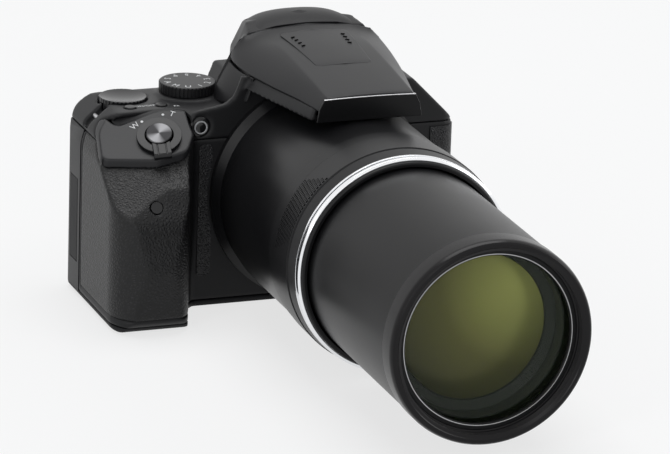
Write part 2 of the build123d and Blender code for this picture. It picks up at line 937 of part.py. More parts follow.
def make_flash_window():
    """Flash lamp in its reflector box, hung under the roof of the head."""
    roof = visor_front_level[2] - flash_wall - seat_gap
    rise = (visor_root_level[2] - visor_front_level[2]) / (visor_root_y - visor_front_y)
    points = [
        (lamp_front_y, lamp_low_z),
        (lamp_rear_y - 2 * lamp_gap_share * (lamp_rear_y - lamp_front_y), lamp_low_z),
        (lamp_rear_y, cheek_z),
        (lamp_rear_y, roof + rise * (lamp_rear_y - visor_front_y)),
        (lamp_front_y, roof + rise * (lamp_front_y - visor_front_y)),
    ]
    return prism_x(make_face(Polyline(*points, close=True)), hump_x - lamp_half, hump_x + lamp_half)


def make_front_shell(outer, hollow, rubber):
    """Front casing with the grip core and the bosses that carry the chassis."""
    shell = (outer - hollow) & block(left_x, right_x, grip_front_y, 0, base_t, parting_z)
    shell = shell - rubber
    for x, z in chassis_corners():
        boss = rod((x, chassis_front_y, z), lens_dir, boss_r, chassis_front_y - front_y - wall / 2)
        shell = shell + boss
    shell = shell - rod((0, 0, axis_z), lens_dir, barrel_spigot_r + seat_gap, -front_y + over)
    shell = shell - window_bore(window_r + seat_gap)
    return shell - shutter_hole()


def chassis_corners():
    xs = (chassis_left_x + boss_inset, chassis_right_x - boss_inset)
    zs = (chassis_low_z + boss_inset, parting_z - boss_inset)
    return [(x, z) for x in xs for z in zs]


def window_bore(r):
    """Round bore through the grip's brow, square to its face."""
    start = Vector(window_x, window_y, window_z) - Vector(*window_slope_share) * window_t
    return rod(start, window_slope_share, r, 3 * window_t)


def make_grip_rubber(outer):
    """Rubber skin round the front and the side of the grip."""
    side_x = grip_root_x - grip_root_r
    zone = block(left_x - over, side_x, grip_front_y - over, front_y, rubber_z, deck_z)
    zone = zone + block(left_x - over, left_x + grip_outer_r, front_y, rubber_rear_y, rubber_z, parting_z)
    core = grip(rubber_t) - above_slope(cap_t + rubber_t) - above_brow(rubber_t)
    skin = (outer & zone) - trunk(rubber_t) - core
    return skin.solids().sort_by(SortBy.VOLUME)[-1] - window_bore(window_r + seat_gap) - shutter_hole()


def make_grip_top():
    """Smooth cap on the grip: a sloping plate with a rounded lip."""
    reach = rear_y - grip_front_y
    slab = slope_plane * Box(reach, reach, cap_t - cap_gap, align=(Align.CENTER, Align.CENTER, Align.MAX))
    cap = slab & prism_z(cap_outline(0), 0, hump_top_z)
    top = cap.faces().sort_by(lambda f: slope_plane.to_local_coords(f.center()).Z)[-1]
    cap = fillet(top.edges(), cap_lip_r)
    across = prism_y(shrink(front_outline(), cap_gap), grip_front_y, 0)
    cap = cap & across
    return cap - shutter_hole()


def make_shutter_button():
    body = slope_plane.offset(-shutter_stem) * Cylinder(
        shutter_r, shutter_stem + shutter_top, align=(Align.CENTER, Align.CENTER, Align.MIN)
    )
    rim = body.edges().filter_by(GeomType.CIRCLE).sort_by(lambda e: slope_plane.to_local_coords(e.center()).Z)[-1]
    return fillet(rim, lever_ridge)


def make_zoom_lever():
    ring = Cylinder(lever_r, lever_top - lever_base, align=(Align.CENTER, Align.CENTER, Align.MIN))
    bore = Cylinder(lever_bore_r, 4 * lever_top)
    tab_r = lever_r + lever_tab
    tab_h = lever_top - lever_base + lever_tab_rise
    tab = Pos(tab_r / 2, 0, 0) * Box(tab_r, lever_tab_w, tab_h, align=(Align.CENTER, Align.CENTER, Align.MIN))
    tab = chamfer(tab.edges().group_by(Axis.Z)[-1].sort_by(Axis.X)[-1], lever_tab_rise)
    for i in (-1, 1):
        groove = Pos(tab_r / 2, i * lever_tab_w / 4, tab_h)
        tab = tab - groove * Box(tab_r + over, lever_ridge, lever_ridge)
    lever = ring + Rot(0, 0, lever_tab_deg) * tab - bore
    return slope_plane.offset(lever_base) * lever


def make_rear_cover(outer, hollow):
    """Rear casing with the screen recess, hinge knuckles, thumb rest and socket block."""
    behind = block(recess_left_x - recess_floor, right_x, recess_y - recess_floor, rear_y, 0, parting_z)
    shell = outer - (hollow - behind)
    shell = shell + (block(left_x, left_x + cover_t + cover_gap + socket_block, cover_front_y - 2 * cover_t,
                           cover_rear_y + cover_t, cover_low_z - cover_t, cover_top_z + cover_t) & outer)
    boss = rod((selector_x, rear_y - selector_boss, selector_z), (0, 1, 0), selector_r + pocket_wall, selector_boss)
    shell = shell + boss
    shell = shell & block(left_x, right_x, 0, rear_y, base_t, parting_z)
    thumb = flat(
        [(thumb_left_x, thumb_low_z), (thumb_right_x, thumb_low_z),
         (thumb_right_x, thumb_top_z), (thumb_left_x, thumb_top_z)],
        [thumb_r] * 4,
    )
    pad = prism_y(thumb, rear_y - wall, rear_y + thumb_t)
    pad = chamfer(pad.edges().group_by(Axis.Y)[-1], thumb_t / 2)
    shell = shell + (pad & block(left_x + rear_left_r / 2, right_x, 0, rear_y + thumb_t, 0, parting_z))
    shell = shell - block(recess_left_x, right_x + over, recess_y, rear_y + over, recess_low_z, recess_top_z)
    for z0, z1 in screen_fixed_knuckles():
        ear = rod((screen_hinge_x, screen_hinge_y, z0), (0, 0, 1), screen_knuckle_r, z1 - z0)
        foot = block(screen_hinge_x - screen_knuckle_r, screen_hinge_x + screen_knuckle_r,
                     recess_y - recess_floor / 2, screen_hinge_y, z0, z1)
        shell = shell + ear + foot
    shell = shell + rod((screen_hinge_x, screen_hinge_y, recess_low_z), (0, 0, 1), screen_pin_r,
                        recess_top_z - recess_low_z)
    pocket = rod((selector_x, rear_y - selector_depth, selector_z), (0, 1, 0), selector_r + slide_gap, rear_y)
    ok_hole = rod((selector_x, rear_y - 2 * selector_boss, selector_z), (0, 1, 0), ok_r + button_gap, rear_y)
    shell = shell - pocket - ok_hole
    for x, y in screw_places():
        shell = shell - rod((x, y, 0), (0, 0, 1), screw_r + seat_gap, screw_l + seat_gap)
    for x, z, r in rear_buttons().values():
        shell = shell - rear_hole(x, z, r, rear_y)
    return shell - cover_space(cover_gap) - ports()


def screen_fixed_knuckles():
    low = (recess_low_z, screen_knuckle_low - screen_gap)
    top = (screen_knuckle_top + screen_gap, recess_top_z)
    return [low, top]


def rear_buttons():
    return {
        "movie_button": (movie_x, movie_z, movie_r),
        "display_button": (display_x, display_z, round_button_r),
        "playback_button": (playback_x, playback_z, round_button_r),
        "menu_button": (menu_x, menu_z, round_button_r),
        "delete_button": (delete_x, delete_z, round_button_r),
    }


def cover_space(grow):
    """Socket cover's outline: a flat flap whose front edge is rounded about its hinge."""
    half = cover_t / 2 + grow
    hinge_x = left_x + cover_t / 2
    hinge_y = cover_front_y + cover_t / 2
    edge = rod((hinge_x, hinge_y, cover_low_z - grow), (0, 0, 1), half, cover_top_z - cover_low_z + 2 * grow)
    flap = block(left_x - grow, left_x + cover_t + grow, hinge_y, cover_rear_y + grow,
                 cover_low_z - grow, cover_top_z + grow)
    if grow > 0:
        flap = flap + block(left_x - grow, hinge_x, hinge_y - half, cover_rear_y,
                            cover_low_z - grow, cover_top_z + grow)
    return edge + flap


def ports():
    """Two sockets behind the cover."""
    face_x = left_x + cover_t + cover_gap
    mid_y = (cover_front_y + cover_rear_y) / 2
    low, high = cover_low_z, cover_top_z
    cuts = []
    for share in port_shares:
        z = low + share * (high - low)
        cuts.append(block(face_x - over, face_x + port_depth, mid_y - port_w / 2, mid_y + port_w / 2,
                          z - port_h / 2, z + port_h / 2))
    return cuts


def make_selector_ring():
    y0 = rear_y - selector_depth + door_gap
    disc = rod((0, 0, 0), (0, 0, 1), selector_r, selector_h)
    disc = chamfer(disc.edges().group_by(Axis.Z)[-1], notch_r)
    notch = rod((selector_r, 0, 0), (0, 0, 1), notch_r, 2 * selector_h)
    disc = disc - [notch.rotate(Axis.Z, 360 * i / selector_notches) for i in range(selector_notches)]
    disc = disc - Cylinder(selector_bore_r, 4 * selector_h)
    return Plane(origin=(selector_x, y0, selector_z), x_dir=(-1, 0, 0), z_dir=(0, 1, 0)) * disc


def make_ok_button():
    start_y = rear_y - selector_boss - button_gap - button_flange_t
    length = rear_y + button_proud + ok_proud - start_y
    return push_button((selector_x, start_y, selector_z), (0, 1, 0), ok_r, length)


def make_screen():
    """Screen housing with its hinge knuckle."""
    low = recess_low_z + screen_gap
    top = recess_top_z - screen_gap
    outline = flat(
        [(recess_left_x + screen_gap, low), (screen_edge_x, low),
         (screen_edge_x, top), (recess_left_x + screen_gap, top)],
        [screen_r, screen_r / 2, screen_r / 2, screen_r],
    )
    panel = prism_y(outline, recess_y + screen_gap, rear_y)
    knuckle = rod((screen_hinge_x, screen_hinge_y, screen_knuckle_low), (0, 0, 1), screen_knuckle_r,
                  screen_knuckle_top - screen_knuckle_low)
    neck = block(screen_edge_x - over, screen_hinge_x, screen_hinge_y - screen_knuckle_r * 0.9,
                 screen_hinge_y + screen_knuckle_r * 0.9, screen_knuckle_low, screen_knuckle_top)
    bore = rod((screen_hinge_x, screen_hinge_y, 0), (0, 0, 1), screen_pin_r + run_gap, parting_z)
    return panel + knuckle + neck - bore - screen_glass(seat_gap)


def screen_glass(grow):
    low = recess_low_z + screen_gap + glass_border - grow
    top = recess_top_z - screen_gap - glass_border + grow
    x0 = recess_left_x + screen_gap + glass_border - grow
    x1 = screen_edge_x - glass_border + grow
    return block(x0, x1, rear_y - glass_t - grow, rear_y, low, top)


def make_bottom_plate(outer):
    plate = outer & block(left_x, right_x, grip_front_y, rear_y, 0, base_t)
    plate = plate - rod((0, 0, 0), (0, 0, 1), socket_r + seat_gap, base_t)
    plate = plate - door_space(door_gap, 0)
    for x, y in screw_places():
        plate = plate - rod((x, y, 0), (0, 0, 1), screw_r + seat_gap, base_t)
        plate = plate - rod((x, y, 0), (0, 0, 1), screw_head_r + seat_gap, screw_head_t + seat_gap)
    return plate


def door_space(grow, low_z):
    """Battery door's outline: its hinge edge is rounded about the hinge pin."""
    mid_z = (door_low_z + base_t) / 2
    half = (base_t - door_low_z) / 2
    y0, y1 = door_front_y - grow, door_rear_y + grow
    outline = flat(
        [(door_left_x - grow, y0), (door_hinge_x, y0), (door_hinge_x, y1), (door_left_x - grow, y1)],
        [door_r, 0, 0, door_r],
    )
    flap = prism_z(outline, low_z, base_t)
    if grow > 0:
        return flap + block(door_hinge_x, door_hinge_x + half + grow, y0, y1, 0, base_t)
    return flap + rod((door_hinge_x, y0, mid_z), (0, 1, 0), half, y1 - y0)


def latch_pocket(grow, travel):
    mid_y = (door_front_y + door_rear_y) / 2
    return block(latch_x - latch_l / 2 - grow, latch_x + latch_l / 2 + travel + grow,
                 mid_y - latch_w / 2 - grow, mid_y + latch_w / 2 + grow, 0, door_low_z + latch_t + grow)


def make_battery_door():
    return door_space(0, door_low_z) - latch_pocket(slide_gap, latch_travel)


def make_door_latch():
    latch = latch_pocket(0, 0) & block(left_x, right_x, grip_front_y, rear_y, door_low_z, base_t)
    for i in range(latch_grooves):
        x = latch_x + (i - (latch_grooves - 1) / 2) * latch_l / (latch_grooves + 1)
        latch = latch - block(x - latch_t / 4, x + latch_t / 4, door_front_y, door_rear_y, 0,
                              door_low_z + latch_t / 3)
    return latch


def make_tripod_socket():
    insert = rod((0, 0, 0), (0, 0, 1), socket_r, socket_h)
    return insert - rod((0, 0, 0), (0, 0, 1), socket_bore_r, socket_depth)


def screw_places():
    x1 = right_x - screw_inset_x
    return [(x1, front_y + screw_inset_y), (x1, rear_y - screw_inset_y),
            (screw_left_x, front_y + screw_inset_y), (screw_left_x, rear_y - screw_inset_y)]


def make_screws():
    """Countersunk base screws with crossed slots."""
    screws = []
    for x, y in screw_places():
        screw = rod((x, y, 0), (0, 0, 1), screw_head_r, screw_head_t) + rod((x, y, 0), (0, 0, 1), screw_r, screw_l)
        for w, h in ((screw_head_r, screw_r / 3), (screw_r / 3, screw_head_r)):
            screw = screw - block(x - w / 2, x + w / 2, y - h / 2, y + h / 2, 0, screw_head_t / 2)
        screws.append(screw)
    return Compound(children=screws)


def make_battery():
    y0 = battery_rear_y - battery_w
    outline = flat(
        [(battery_x - battery_t / 2, y0), (battery_x + battery_t / 2, y0),
         (battery_x + battery_t / 2, battery_rear_y), (battery_x - battery_t / 2, battery_rear_y)],
        [battery_r] * 4,
    )
    return prism_z(outline, base_t + slide_gap, base_t + slide_gap + battery_h)


# Trim
def make_leather_trim():
    """Pebbled strip beside the lens and the patch round the right shoulder."""
    strip = flat(
        [(trim_outer_x, trim_low_z), (trim_inner_x, trim_low_z), (trim_inner_x, trim_top_z),
         (trim_outer_x, trim_top_z)],
        [trim_r / 2, trim_r, trim_r, trim_r],
    )
    strip = strip - Pos(0, axis_z) * Circle(collar_r + over)
    strip = prism_y(strip, front_y - trim_t, front_y)
    band = prism_z(offset(plan_outline(), amount=trim_t), side_trim_low_z, trim_top_z)
    band = band - prism_z(plan_outline(), 0, parting_z)
    band = band & block(side_trim_x, right_x + trim_t, front_y - trim_t, side_trim_rear_y, 0, parting_z)
    return Compound(children=[strip.solids().sort_by(SortBy.VOLUME)[-1], band.solids().sort_by(SortBy.VOLUME)[-1]])


def make_front_windows():
    """Clear lamp beside the lens, and the receiver window in the grip."""
    lamp = rod((af_x, front_y + wall, af_z), lens_dir, af_lamp_r, wall)
    ball_r = (af_lamp_r**2 + af_lamp_dome**2) / (2 * af_lamp_dome)
    dome = Pos(af_x, front_y + ball_r - af_lamp_dome, af_z) * Sphere(ball_r)
    shaft = rod((af_x, front_y + wall, af_z), lens_dir, af_lamp_r, wall + af_lamp_dome)
    lamp = lamp + (dome & shaft)
    start = Vector(window_x, window_y, window_z) - Vector(*window_slope_share) * window_t
    window = rod(start, window_slope_share, window_r, window_t)
    return Compound(children=[lamp, window])


# Fixed barrel
def make_barrel_housing():
    housing = lens_turn([
        (barrel_rear_y, barrel_bore_r),
        (barrel_rear_y, barrel_spigot_r),
        (front_y, barrel_spigot_r),
        (front_y, collar_r),
        (collar_front_y, collar_r),
        (neck_rear_y, neck_r),
        (neck_front_y, neck_r),
        (rim_y, barrel_r),
        (ring_rear_y, barrel_r),
        (ring_rear_y, barrel_spigot_r),
        (barrel_front_y, barrel_spigot_r),
        (barrel_front_y, barrel_bore_r),
    ])
    pocket = side_sector(rocker_floor_r, collar_r, rocker_front_y - rocker_side_gap,
                         rocker_rear_y + rocker_side_gap, rocker_deg + rocker_side_deg)
    snap = rod((snap_floor_x, snap_y, axis_z), (1, 0, 0), snap_r + slide_gap, collar_r)
    return housing - pocket - snap




def side_sector(r0, r1, y0, y1, half_deg):
    """Piece of a tube on the +X side of the barrel."""
    tube = lens_tube(r0, r1, y0, y1)
    reach = 2 * r1
    tip = (reach * cos(radians(half_deg)), reach * sin(radians(half_deg)))
    wedge = Polyline((0, axis_z), (tip[0], axis_z - tip[1]), (tip[0], axis_z + tip[1]), close=True)
    return tube & prism_y(make_face(wedge), y0 - over, y1 + over)


def make_rocker():
    rocker = side_sector(rocker_low_r, rocker_top_r, rocker_front_y, rocker_rear_y, rocker_deg)
    mid = (rocker_front_y + rocker_rear_y) / 2
    centre_x = rocker_top_r + rocker_thumb_r - rocker_thumb
    return rocker - rod((centre_x, mid, 0), (0, 0, 1), rocker_thumb_r, 2 * axis_z)


def make_snapback():
    body = rod((snap_low_x, snap_y, axis_z), (1, 0, 0), snap_r, snap_top_x - snap_low_x)
    return chamfer(body.edges().group_by(Axis.X)[-1], notch_r)


def make_fixed_ring():
    return lens_turn([
        (ring_rear_y - seat_gap, barrel_spigot_r + seat_gap),
        (ring_rear_y - seat_gap, ring_r - ring_groove),
        (ring_rear_y - ring_groove, ring_r),
        (ring_step_y, ring_r),
        (ring_step_y - ring_groove, ring_r - ring_groove),
        (ring_step_y - 2 * ring_groove, ring_r - ring_groove / 2),
        (ring_front_y, ring_front_r),
        (ring_front_y, barrel_spigot_r + seat_gap),
    ])


def make_chrome_ring():
    span = ring_front_y - seat_gap - chrome_front_y
    y1 = ring_front_y - seat_gap
    return lens_turn([
        (y1, barrel_spigot_r + seat_gap),
        (y1, chrome_r),
        (y1 - chrome_shares[0] * span, chrome_r),
        (y1 - chrome_shares[0] * span, chrome_r - chrome_groove),
        (y1 - chrome_shares[1] * span, chrome_r - chrome_groove),
        (y1 - chrome_shares[1] * span, chrome_r),
        (chrome_front_y, chrome_r),
        (chrome_front_y, barrel_bore_r),
        (barrel_front_y - seat_gap, barrel_bore_r),
        (barrel_front_y - seat_gap, barrel_spigot_r + seat_gap),
    ])


def make_barrel_lip():
    return lens_turn([
        (chrome_front_y - seat_gap, barrel_bore_r - seat_gap),
        (chrome_front_y - seat_gap, lip_r),
        (lip_y + (lip_r - lip_front_r) / 2, lip_r),
        (lip_y, lip_front_r),
        (lip_y, lip_bore_r),
        (lip_sleeve_y, lip_bore_r),
        (lip_sleeve_y, barrel_bore_r - seat_gap),
    ])


# Zoom tube and front group
def make_zoom_barrel():
    return lens_turn([
        (tube_front_y, tube_bore_r),
        (tube_front_y, tube_r),
        (tube_rear_y - tube_flange_l, tube_r),
        (tube_rear_y - tube_flange_l, tube_flange_r),
        (tube_rear_y, tube_flange_r),
        (tube_rear_y, tube_bore_r),
    ])


def make_front_ring():
    return lens_turn([
        (ring_face_y, thread_r),
        (ring_face_y, ring_edge_r - ring_chamfer),
        (ring_face_y + ring_chamfer, ring_edge_r),
        (tube_front_y - seat_gap, ring_edge_r),
        (tube_front_y - seat_gap, ring_tail_r),
        (ring_tail_y, ring_tail_r),
        (ring_tail_y, shelf_r),
        (shelf_y, shelf_r),
        (shelf_y, seat_r),
        (ring_face_y + thread_l, seat_r),
        (ring_face_y + thread_l, thread_r),
    ])


def bulged(y_edge, y_crown, y_back, r):
    """Glass disc with a convex front, about the lens axis."""
    sag = y_edge - y_crown
    ball = (r**2 + sag**2) / (2 * sag)
    mid_r = r / 2
    mid_y = y_crown + ball - sqrt(ball**2 - mid_r**2)
    front = ThreePointArc((y_crown, axis_z), (mid_y, axis_z + mid_r), (y_edge, axis_z + r))
    rest = Polyline((y_edge, axis_z + r), (y_back, axis_z + r), (y_back, axis_z), (y_crown, axis_z))
    profile = Plane.YZ * make_face(Curve() + [front, rest])
    return revolve(profile, axis=Axis((0, 0, axis_z), (0, 1, 0)))


def make_front_element():
    return bulged(lens_edge_y, lens_edge_y - lens_crown, shelf_y - seat_gap, lens_r)


def make_retaining_ring():
    return lens_turn([
        (lens_edge_y - seat_gap, keeper_r + over),
        (lens_edge_y - seat_gap, seat_r - seat_gap),
        (keeper_front_y, seat_r - seat_gap),
        (keeper_front_y, keeper_r + over / 2),
        (keeper_front_y + over / 2, keeper_r),
    ])


def follower_y():
    return tube_rear_y - tube_flange_l / 2


def make_followers():
    """Pins in the tail of the zoom tube, through the cam's slots into the guide's slots."""
    low_r = guide_bore_r + follower_tip
    pins = []
    for i in range(follower_count):
        pin = rod((0, follower_y(), axis_z + low_r), (0, 0, 1), follower_r, tube_bore_r - low_r)
        pin = pin & rod((0, tube_rear_y, axis_z), lens_dir, tube_bore_r, tube_flange_l)
        pins.append(about_lens(pin, 360 * i / follower_count))
    return Compound(children=pins)


# Drive inside
def make_guide_tube():
    """Fixed tube with a straight slot for each follower."""
    tube = lens_tube(guide_bore_r, guide_r, guide_front_y, chassis_front_y)
    half = follower_r + slot_gap
    y0, y1 = follower_y() - slot_run, follower_y() + zoom_travel + slot_run
    for i in range(follower_count):
        slot = block(-half, half, y0 - half, y1 + half, axis_z, axis_z + cam_r)
        tube = tube - about_lens(slot, 360 * i / follower_count)
    return tube


def make_cam_tube():
    """Turning tube with a helical slot for each follower and a toothed rim."""
    tube = lens_tube(cam_bore_r, cam_r, cam_front_y, cam_rear_y)
    pitch = zoom_travel * 360 / cam_turn_deg
    mid_r = (cam_bore_r + cam_r) / 2
    run = slot_run * cam_turn_deg / zoom_travel
    path = Helix(pitch=pitch, height=zoom_travel + 2 * slot_run, radius=mid_r,
                 center=(0, follower_y() - slot_run, axis_z), direction=(0, 1, 0), lefthand=True)
    path = about_lens(path, run)
    start = Plane(origin=path @ 0, x_dir=(path @ 0) - Vector(0, follower_y() - slot_run, axis_z), z_dir=path % 0)
    half = follower_r + slot_gap
    slot = sweep(start * Rectangle(3 * cam_wall, 2 * half), path=path, is_frenet=True)
    ends = [through_wall(path @ t, half) for t in (0, 1)]
    for i in range(follower_count):
        for cutter in [slot] + ends:
            tube = tube - about_lens(cutter, 360 * i / follower_count)
    rim = toothed(cam_teeth, gear_tip, 0) - Circle(cam_bore_r)
    return tube + Pos(0, gear_rear_y, axis_z) * prism_y(rim, gear_front_y - gear_rear_y, 0)


def through_wall(point, r):
    """Round cutter through the cam tube's wall at a point."""
    out = (point - Vector(0, point.Y, axis_z)).normalized()
    return rod(point - 1.5 * cam_wall * out, out, r, 3 * cam_wall)


def toothed(teeth, tip, phase_deg):
    """Outline of a spur gear with straight-lined involute teeth, one of them centred on the phase."""
    r = module * teeth / 2
    base = r * cos(radians(pressure_deg))
    root, top = r - gear_root, r + tip
    flank = [max(base, root) + (top - max(base, root)) * i / flank_steps for i in range(flank_steps + 1)]
    half_pitch = (pi * module / 2 - gear_backlash) / (2 * r)
    points = []
    for k in range(teeth):
        mid = radians(phase_deg) + 2 * pi * k / teeth
        sides = [(q, half_pitch + involute(r, base) - involute(q, base)) for q in flank]
        if root < base:
            sides = [(root, sides[0][1])] + sides
        for q, a in sides:
            points.append((q * cos(mid - a), q * sin(mid - a)))
        for q, a in reversed(sides):
            points.append((q * cos(mid + a), q * sin(mid + a)))
    return make_face(Polyline(*points, close=True))


def involute(r, base):
    """Angle by which an involute from the base circle has turned at a radius."""
    roll = sqrt(max(r / base, 1) ** 2 - 1)
    return roll - atan(roll)


def motor_place():
    reach = module * (cam_teeth + pinion_teeth) / 2
    return reach * cos(radians(motor_deg)), axis_z + reach * sin(radians(motor_deg))


def make_drive_gear():
    """Pinion on the motor shaft; a gap between its teeth faces a tooth of the cam's rim."""
    x, z = motor_place()
    cam_tooth = round(motor_deg * cam_teeth / 360) * 360 / cam_teeth
    lag = (motor_deg - cam_tooth) * cam_teeth / pinion_teeth
    facing = motor_deg + 180 + lag + 180 / pinion_teeth
    outline = toothed(pinion_teeth, pinion_tip, facing)
    gear = Pos(x, gear_rear_y, z) * prism_y(outline, gear_front_y - gear_rear_y, 0)
    return gear + rod((x, gear_rear_y, z), (0, 1, 0), motor_shaft_r, -gear_rear_y + chassis_front_y + chassis_t)


def make_zoom_motor():
    x, z = motor_place()
    rear = chassis_front_y + chassis_t
    return rod((x, rear, z), (0, 1, 0), motor_r, motor_l)


def make_zoom_group():
    y1 = cell_front_y + cell_l
    cell = lens_turn([
        (cell_front_y, cell_glass_r), (cell_front_y, cell_r), (y1, cell_r), (y1, cell_glass_r)
    ])
    glass = bulged(cell_front_y + cell_l / 4, cell_front_y + cell_l / 8, y1 - cell_l / 4, cell_glass_r)
    return cell + glass


def make_rear_group():
    y1 = chassis_front_y - seat_gap
    cell = lens_turn([
        (rear_cell_front_y, cell_glass_r), (rear_cell_front_y, guide_bore_r - seat_gap),
        (y1, guide_bore_r - seat_gap), (y1, cell_glass_r),
    ])
    glass = bulged(rear_cell_front_y + over, rear_cell_front_y, y1 - cell_l / 4, cell_glass_r)
    return cell + glass


def make_chassis():
    """Die-cast plate that carries the lens, the sensor, the motor and the board."""
    rear = chassis_front_y + chassis_t
    plate = block(chassis_left_x, chassis_right_x, chassis_front_y, rear, chassis_low_z, parting_z - seat_gap)
    x, z = motor_place()
    plate = plate - rod((x, chassis_front_y, z), (0, 1, 0), motor_shaft_r + run_gap, chassis_t)
    plate = plate - block(-sensor_w / 3, sensor_w / 3, chassis_front_y, rear, axis_z - sensor_h / 3,
                          axis_z + sensor_h / 3)
    for px in (board_left_x + boss_inset, board_right_x - boss_inset):
        for pz in (board_low_z + boss_inset, board_top_z - boss_inset):
            plate = plate + rod((px, rear, pz), (0, 1, 0), post_r, board_y - rear)
    return plate


def make_image_sensor():
    rear = chassis_front_y + chassis_t
    return block(-sensor_w / 2, sensor_w / 2, rear, rear + sensor_t, axis_z - sensor_h / 2, axis_z + sensor_h / 2)


def make_main_board():
    board = block(board_left_x, board_right_x, board_y, board_y + board_t, board_low_z, board_top_z)
    span_x, span_z = board_right_x - board_left_x, board_top_z - board_low_z
    for cx, cz, w, h in chip_shares:
        x, z = board_left_x + cx * span_x, board_low_z + cz * span_z
        board = board + block(x - w * span_x / 2, x + w * span_x / 2, board_y + board_t, board_y + board_t + chip_t,
                              z - h * span_z / 2, z + h * span_z / 2)
    return board


def make_evf_module():
    rear = hump_rear_y - wall - slide_gap - seat_gap
    return block(hump_x - evf_half, hump_x + evf_half, rear - evf_l, rear, evf_low_z, evf_top_z)


def make_eyecup():
    points = [
        (hump_x - eyecup_half, eyecup_low_z),
        (hump_x + eyecup_half, eyecup_low_z),
        (hump_x + eyecup_half, eyecup_top_z),
        (hump_x - eyecup_half, eyecup_top_z),
    ]
    cup = prism_y(flat(points, [eyecup_r] * 4), hump_rear_y, eyecup_rear_y)
    cup = chamfer(cup.edges().group_by(Axis.Y)[-1], over)
    return cup - prism_y(eye_hole(), hump_rear_y, eyecup_rear_y)


def make_eyepiece_glass():
    hole = shrink(eye_hole(), seat_gap)
    return prism_y(hole, hump_rear_y - wall, hump_rear_y - wall + eye_glass_t)


def make_dioptre_dial():
    disc = knurled(dioptre_r, 0, dioptre_t, dioptre_notches)
    disc = disc + rod((0, 0, 0), (0, 0, 1), dioptre_r / 2, dioptre_t)
    return Plane(origin=(dioptre_x - dioptre_t, dioptre_y, dioptre_z), z_dir=(1, 0, 0)) * disc


def make_flash_button():
    start = (flash_button_x - flash_button_l, flash_button_y, flash_button_z)
    return push_button(start, (1, 0, 0), flash_button_r, flash_button_l)


# Build and write every piece
outer_casing = casing(0)
hollow_casing = casing(wall)
grip_rubber = make_grip_rubber(outer_casing)

pieces = {
    "front_shell": make_front_shell(outer_casing, hollow_casing, grip_rubber),
    "rear_cover": make_rear_cover(outer_casing, hollow_casing),
    "top_cover": make_top_cover(outer_casing, hollow_casing) - grip_rubber,
    "bottom_plate": make_bottom_plate(outer_casing),
    "grip_rubber": grip_rubber,
    "grip_top": make_grip_top(),
    "leather_trim": make_leather_trim(),
    "barrel_housing": make_barrel_housing(),
    "fixed_ring": make_fixed_ring(),
    "chrome_ring": make_chrome_ring(),
    "barrel_lip": make_barrel_lip(),
    "tripod_socket": make_tripod_socket(),
    "strap_bars": make_strap_bars(),
    "front_windows": make_front_windows(),
    "eyecup": make_eyecup(),
    "eyepiece_glass": make_eyepiece_glass(),
    "evf_module": make_evf_module(),
    "chassis": make_chassis(),
    "main_board": make_main_board(),
    "image_sensor": make_image_sensor(),
    "battery": make_battery(),
    "zoom_motor": make_zoom_motor(),
    "guide_tube": make_guide_tube(),
    "rear_group": make_rear_group(),
    "screws": make_screws(),
    "zoom_barrel": make_zoom_barrel(),
    "front_ring": make_front_ring(),
    "retaining_ring": make_retaining_ring(),
    "front_element": make_front_element(),
    "followers": make_followers(),
    "zoom_group": make_zoom_group(),
    "cam_tube": make_cam_tube(),
    "drive_gear": make_drive_gear(),
    "mode_dial": make_mode_dial(),
    "command_dial": make_command_dial(),
    "shutter_button": make_shutter_button(),
    "zoom_lever": make_zoom_lever(),
    "power_button": deck_button(power_x, power_y),
    "fn_button": deck_button(fn_x, fn_y),
    "flash_head": make_flash_head(),
    "flash_plate": make_flash_plate(0),
    "flash_window": make_flash_window(),
    "screen": make_screen(),
    "screen_glass": screen_glass(0),
    "battery_door": make_battery_door(),
    "door_latch": make_door_latch(),
    "connector_cover": cover_space(0),
    "selector_ring": make_selector_ring(),
    "ok_button": make_ok_button(),
    "monitor_button": rear_button(monitor_x, monitor_z, small_button_r, hump_rear_y),
    "dioptre_dial": make_dioptre_dial(),
    "flash_button": make_flash_button(),
    "side_rocker": make_rocker(),
    "snapback_button": make_snapback(),
}
for name, (x, z, r) in rear_buttons().items():
    pieces[name] = rear_button(x, z, r, rear_y)

for name, shape in pieces.items():
    export_step(shape, "parts/" + name + ".step")
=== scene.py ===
import json
from math import cos, pi, radians, sin

import bmesh
import bpy
from mathutils import Matrix, Vector

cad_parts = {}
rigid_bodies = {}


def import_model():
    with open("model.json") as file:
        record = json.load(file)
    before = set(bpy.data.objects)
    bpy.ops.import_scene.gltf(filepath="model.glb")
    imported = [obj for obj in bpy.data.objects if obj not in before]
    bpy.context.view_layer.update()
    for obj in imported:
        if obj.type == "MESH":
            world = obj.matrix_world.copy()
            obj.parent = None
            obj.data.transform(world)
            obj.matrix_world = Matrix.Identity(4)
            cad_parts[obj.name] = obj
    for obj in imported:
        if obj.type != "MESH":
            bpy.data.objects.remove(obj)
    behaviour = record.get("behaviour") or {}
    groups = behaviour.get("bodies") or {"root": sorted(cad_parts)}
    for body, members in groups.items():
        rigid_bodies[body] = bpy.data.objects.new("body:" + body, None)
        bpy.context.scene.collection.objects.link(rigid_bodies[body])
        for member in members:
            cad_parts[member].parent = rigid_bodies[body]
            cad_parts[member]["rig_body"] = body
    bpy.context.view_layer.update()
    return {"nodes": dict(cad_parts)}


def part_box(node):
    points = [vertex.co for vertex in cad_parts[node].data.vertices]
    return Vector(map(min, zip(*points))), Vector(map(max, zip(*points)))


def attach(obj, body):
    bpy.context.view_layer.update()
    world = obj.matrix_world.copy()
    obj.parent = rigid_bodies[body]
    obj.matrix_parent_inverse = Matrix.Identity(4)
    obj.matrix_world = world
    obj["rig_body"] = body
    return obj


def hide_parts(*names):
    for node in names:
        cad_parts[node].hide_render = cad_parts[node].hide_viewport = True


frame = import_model()
nodes = frame["nodes"]
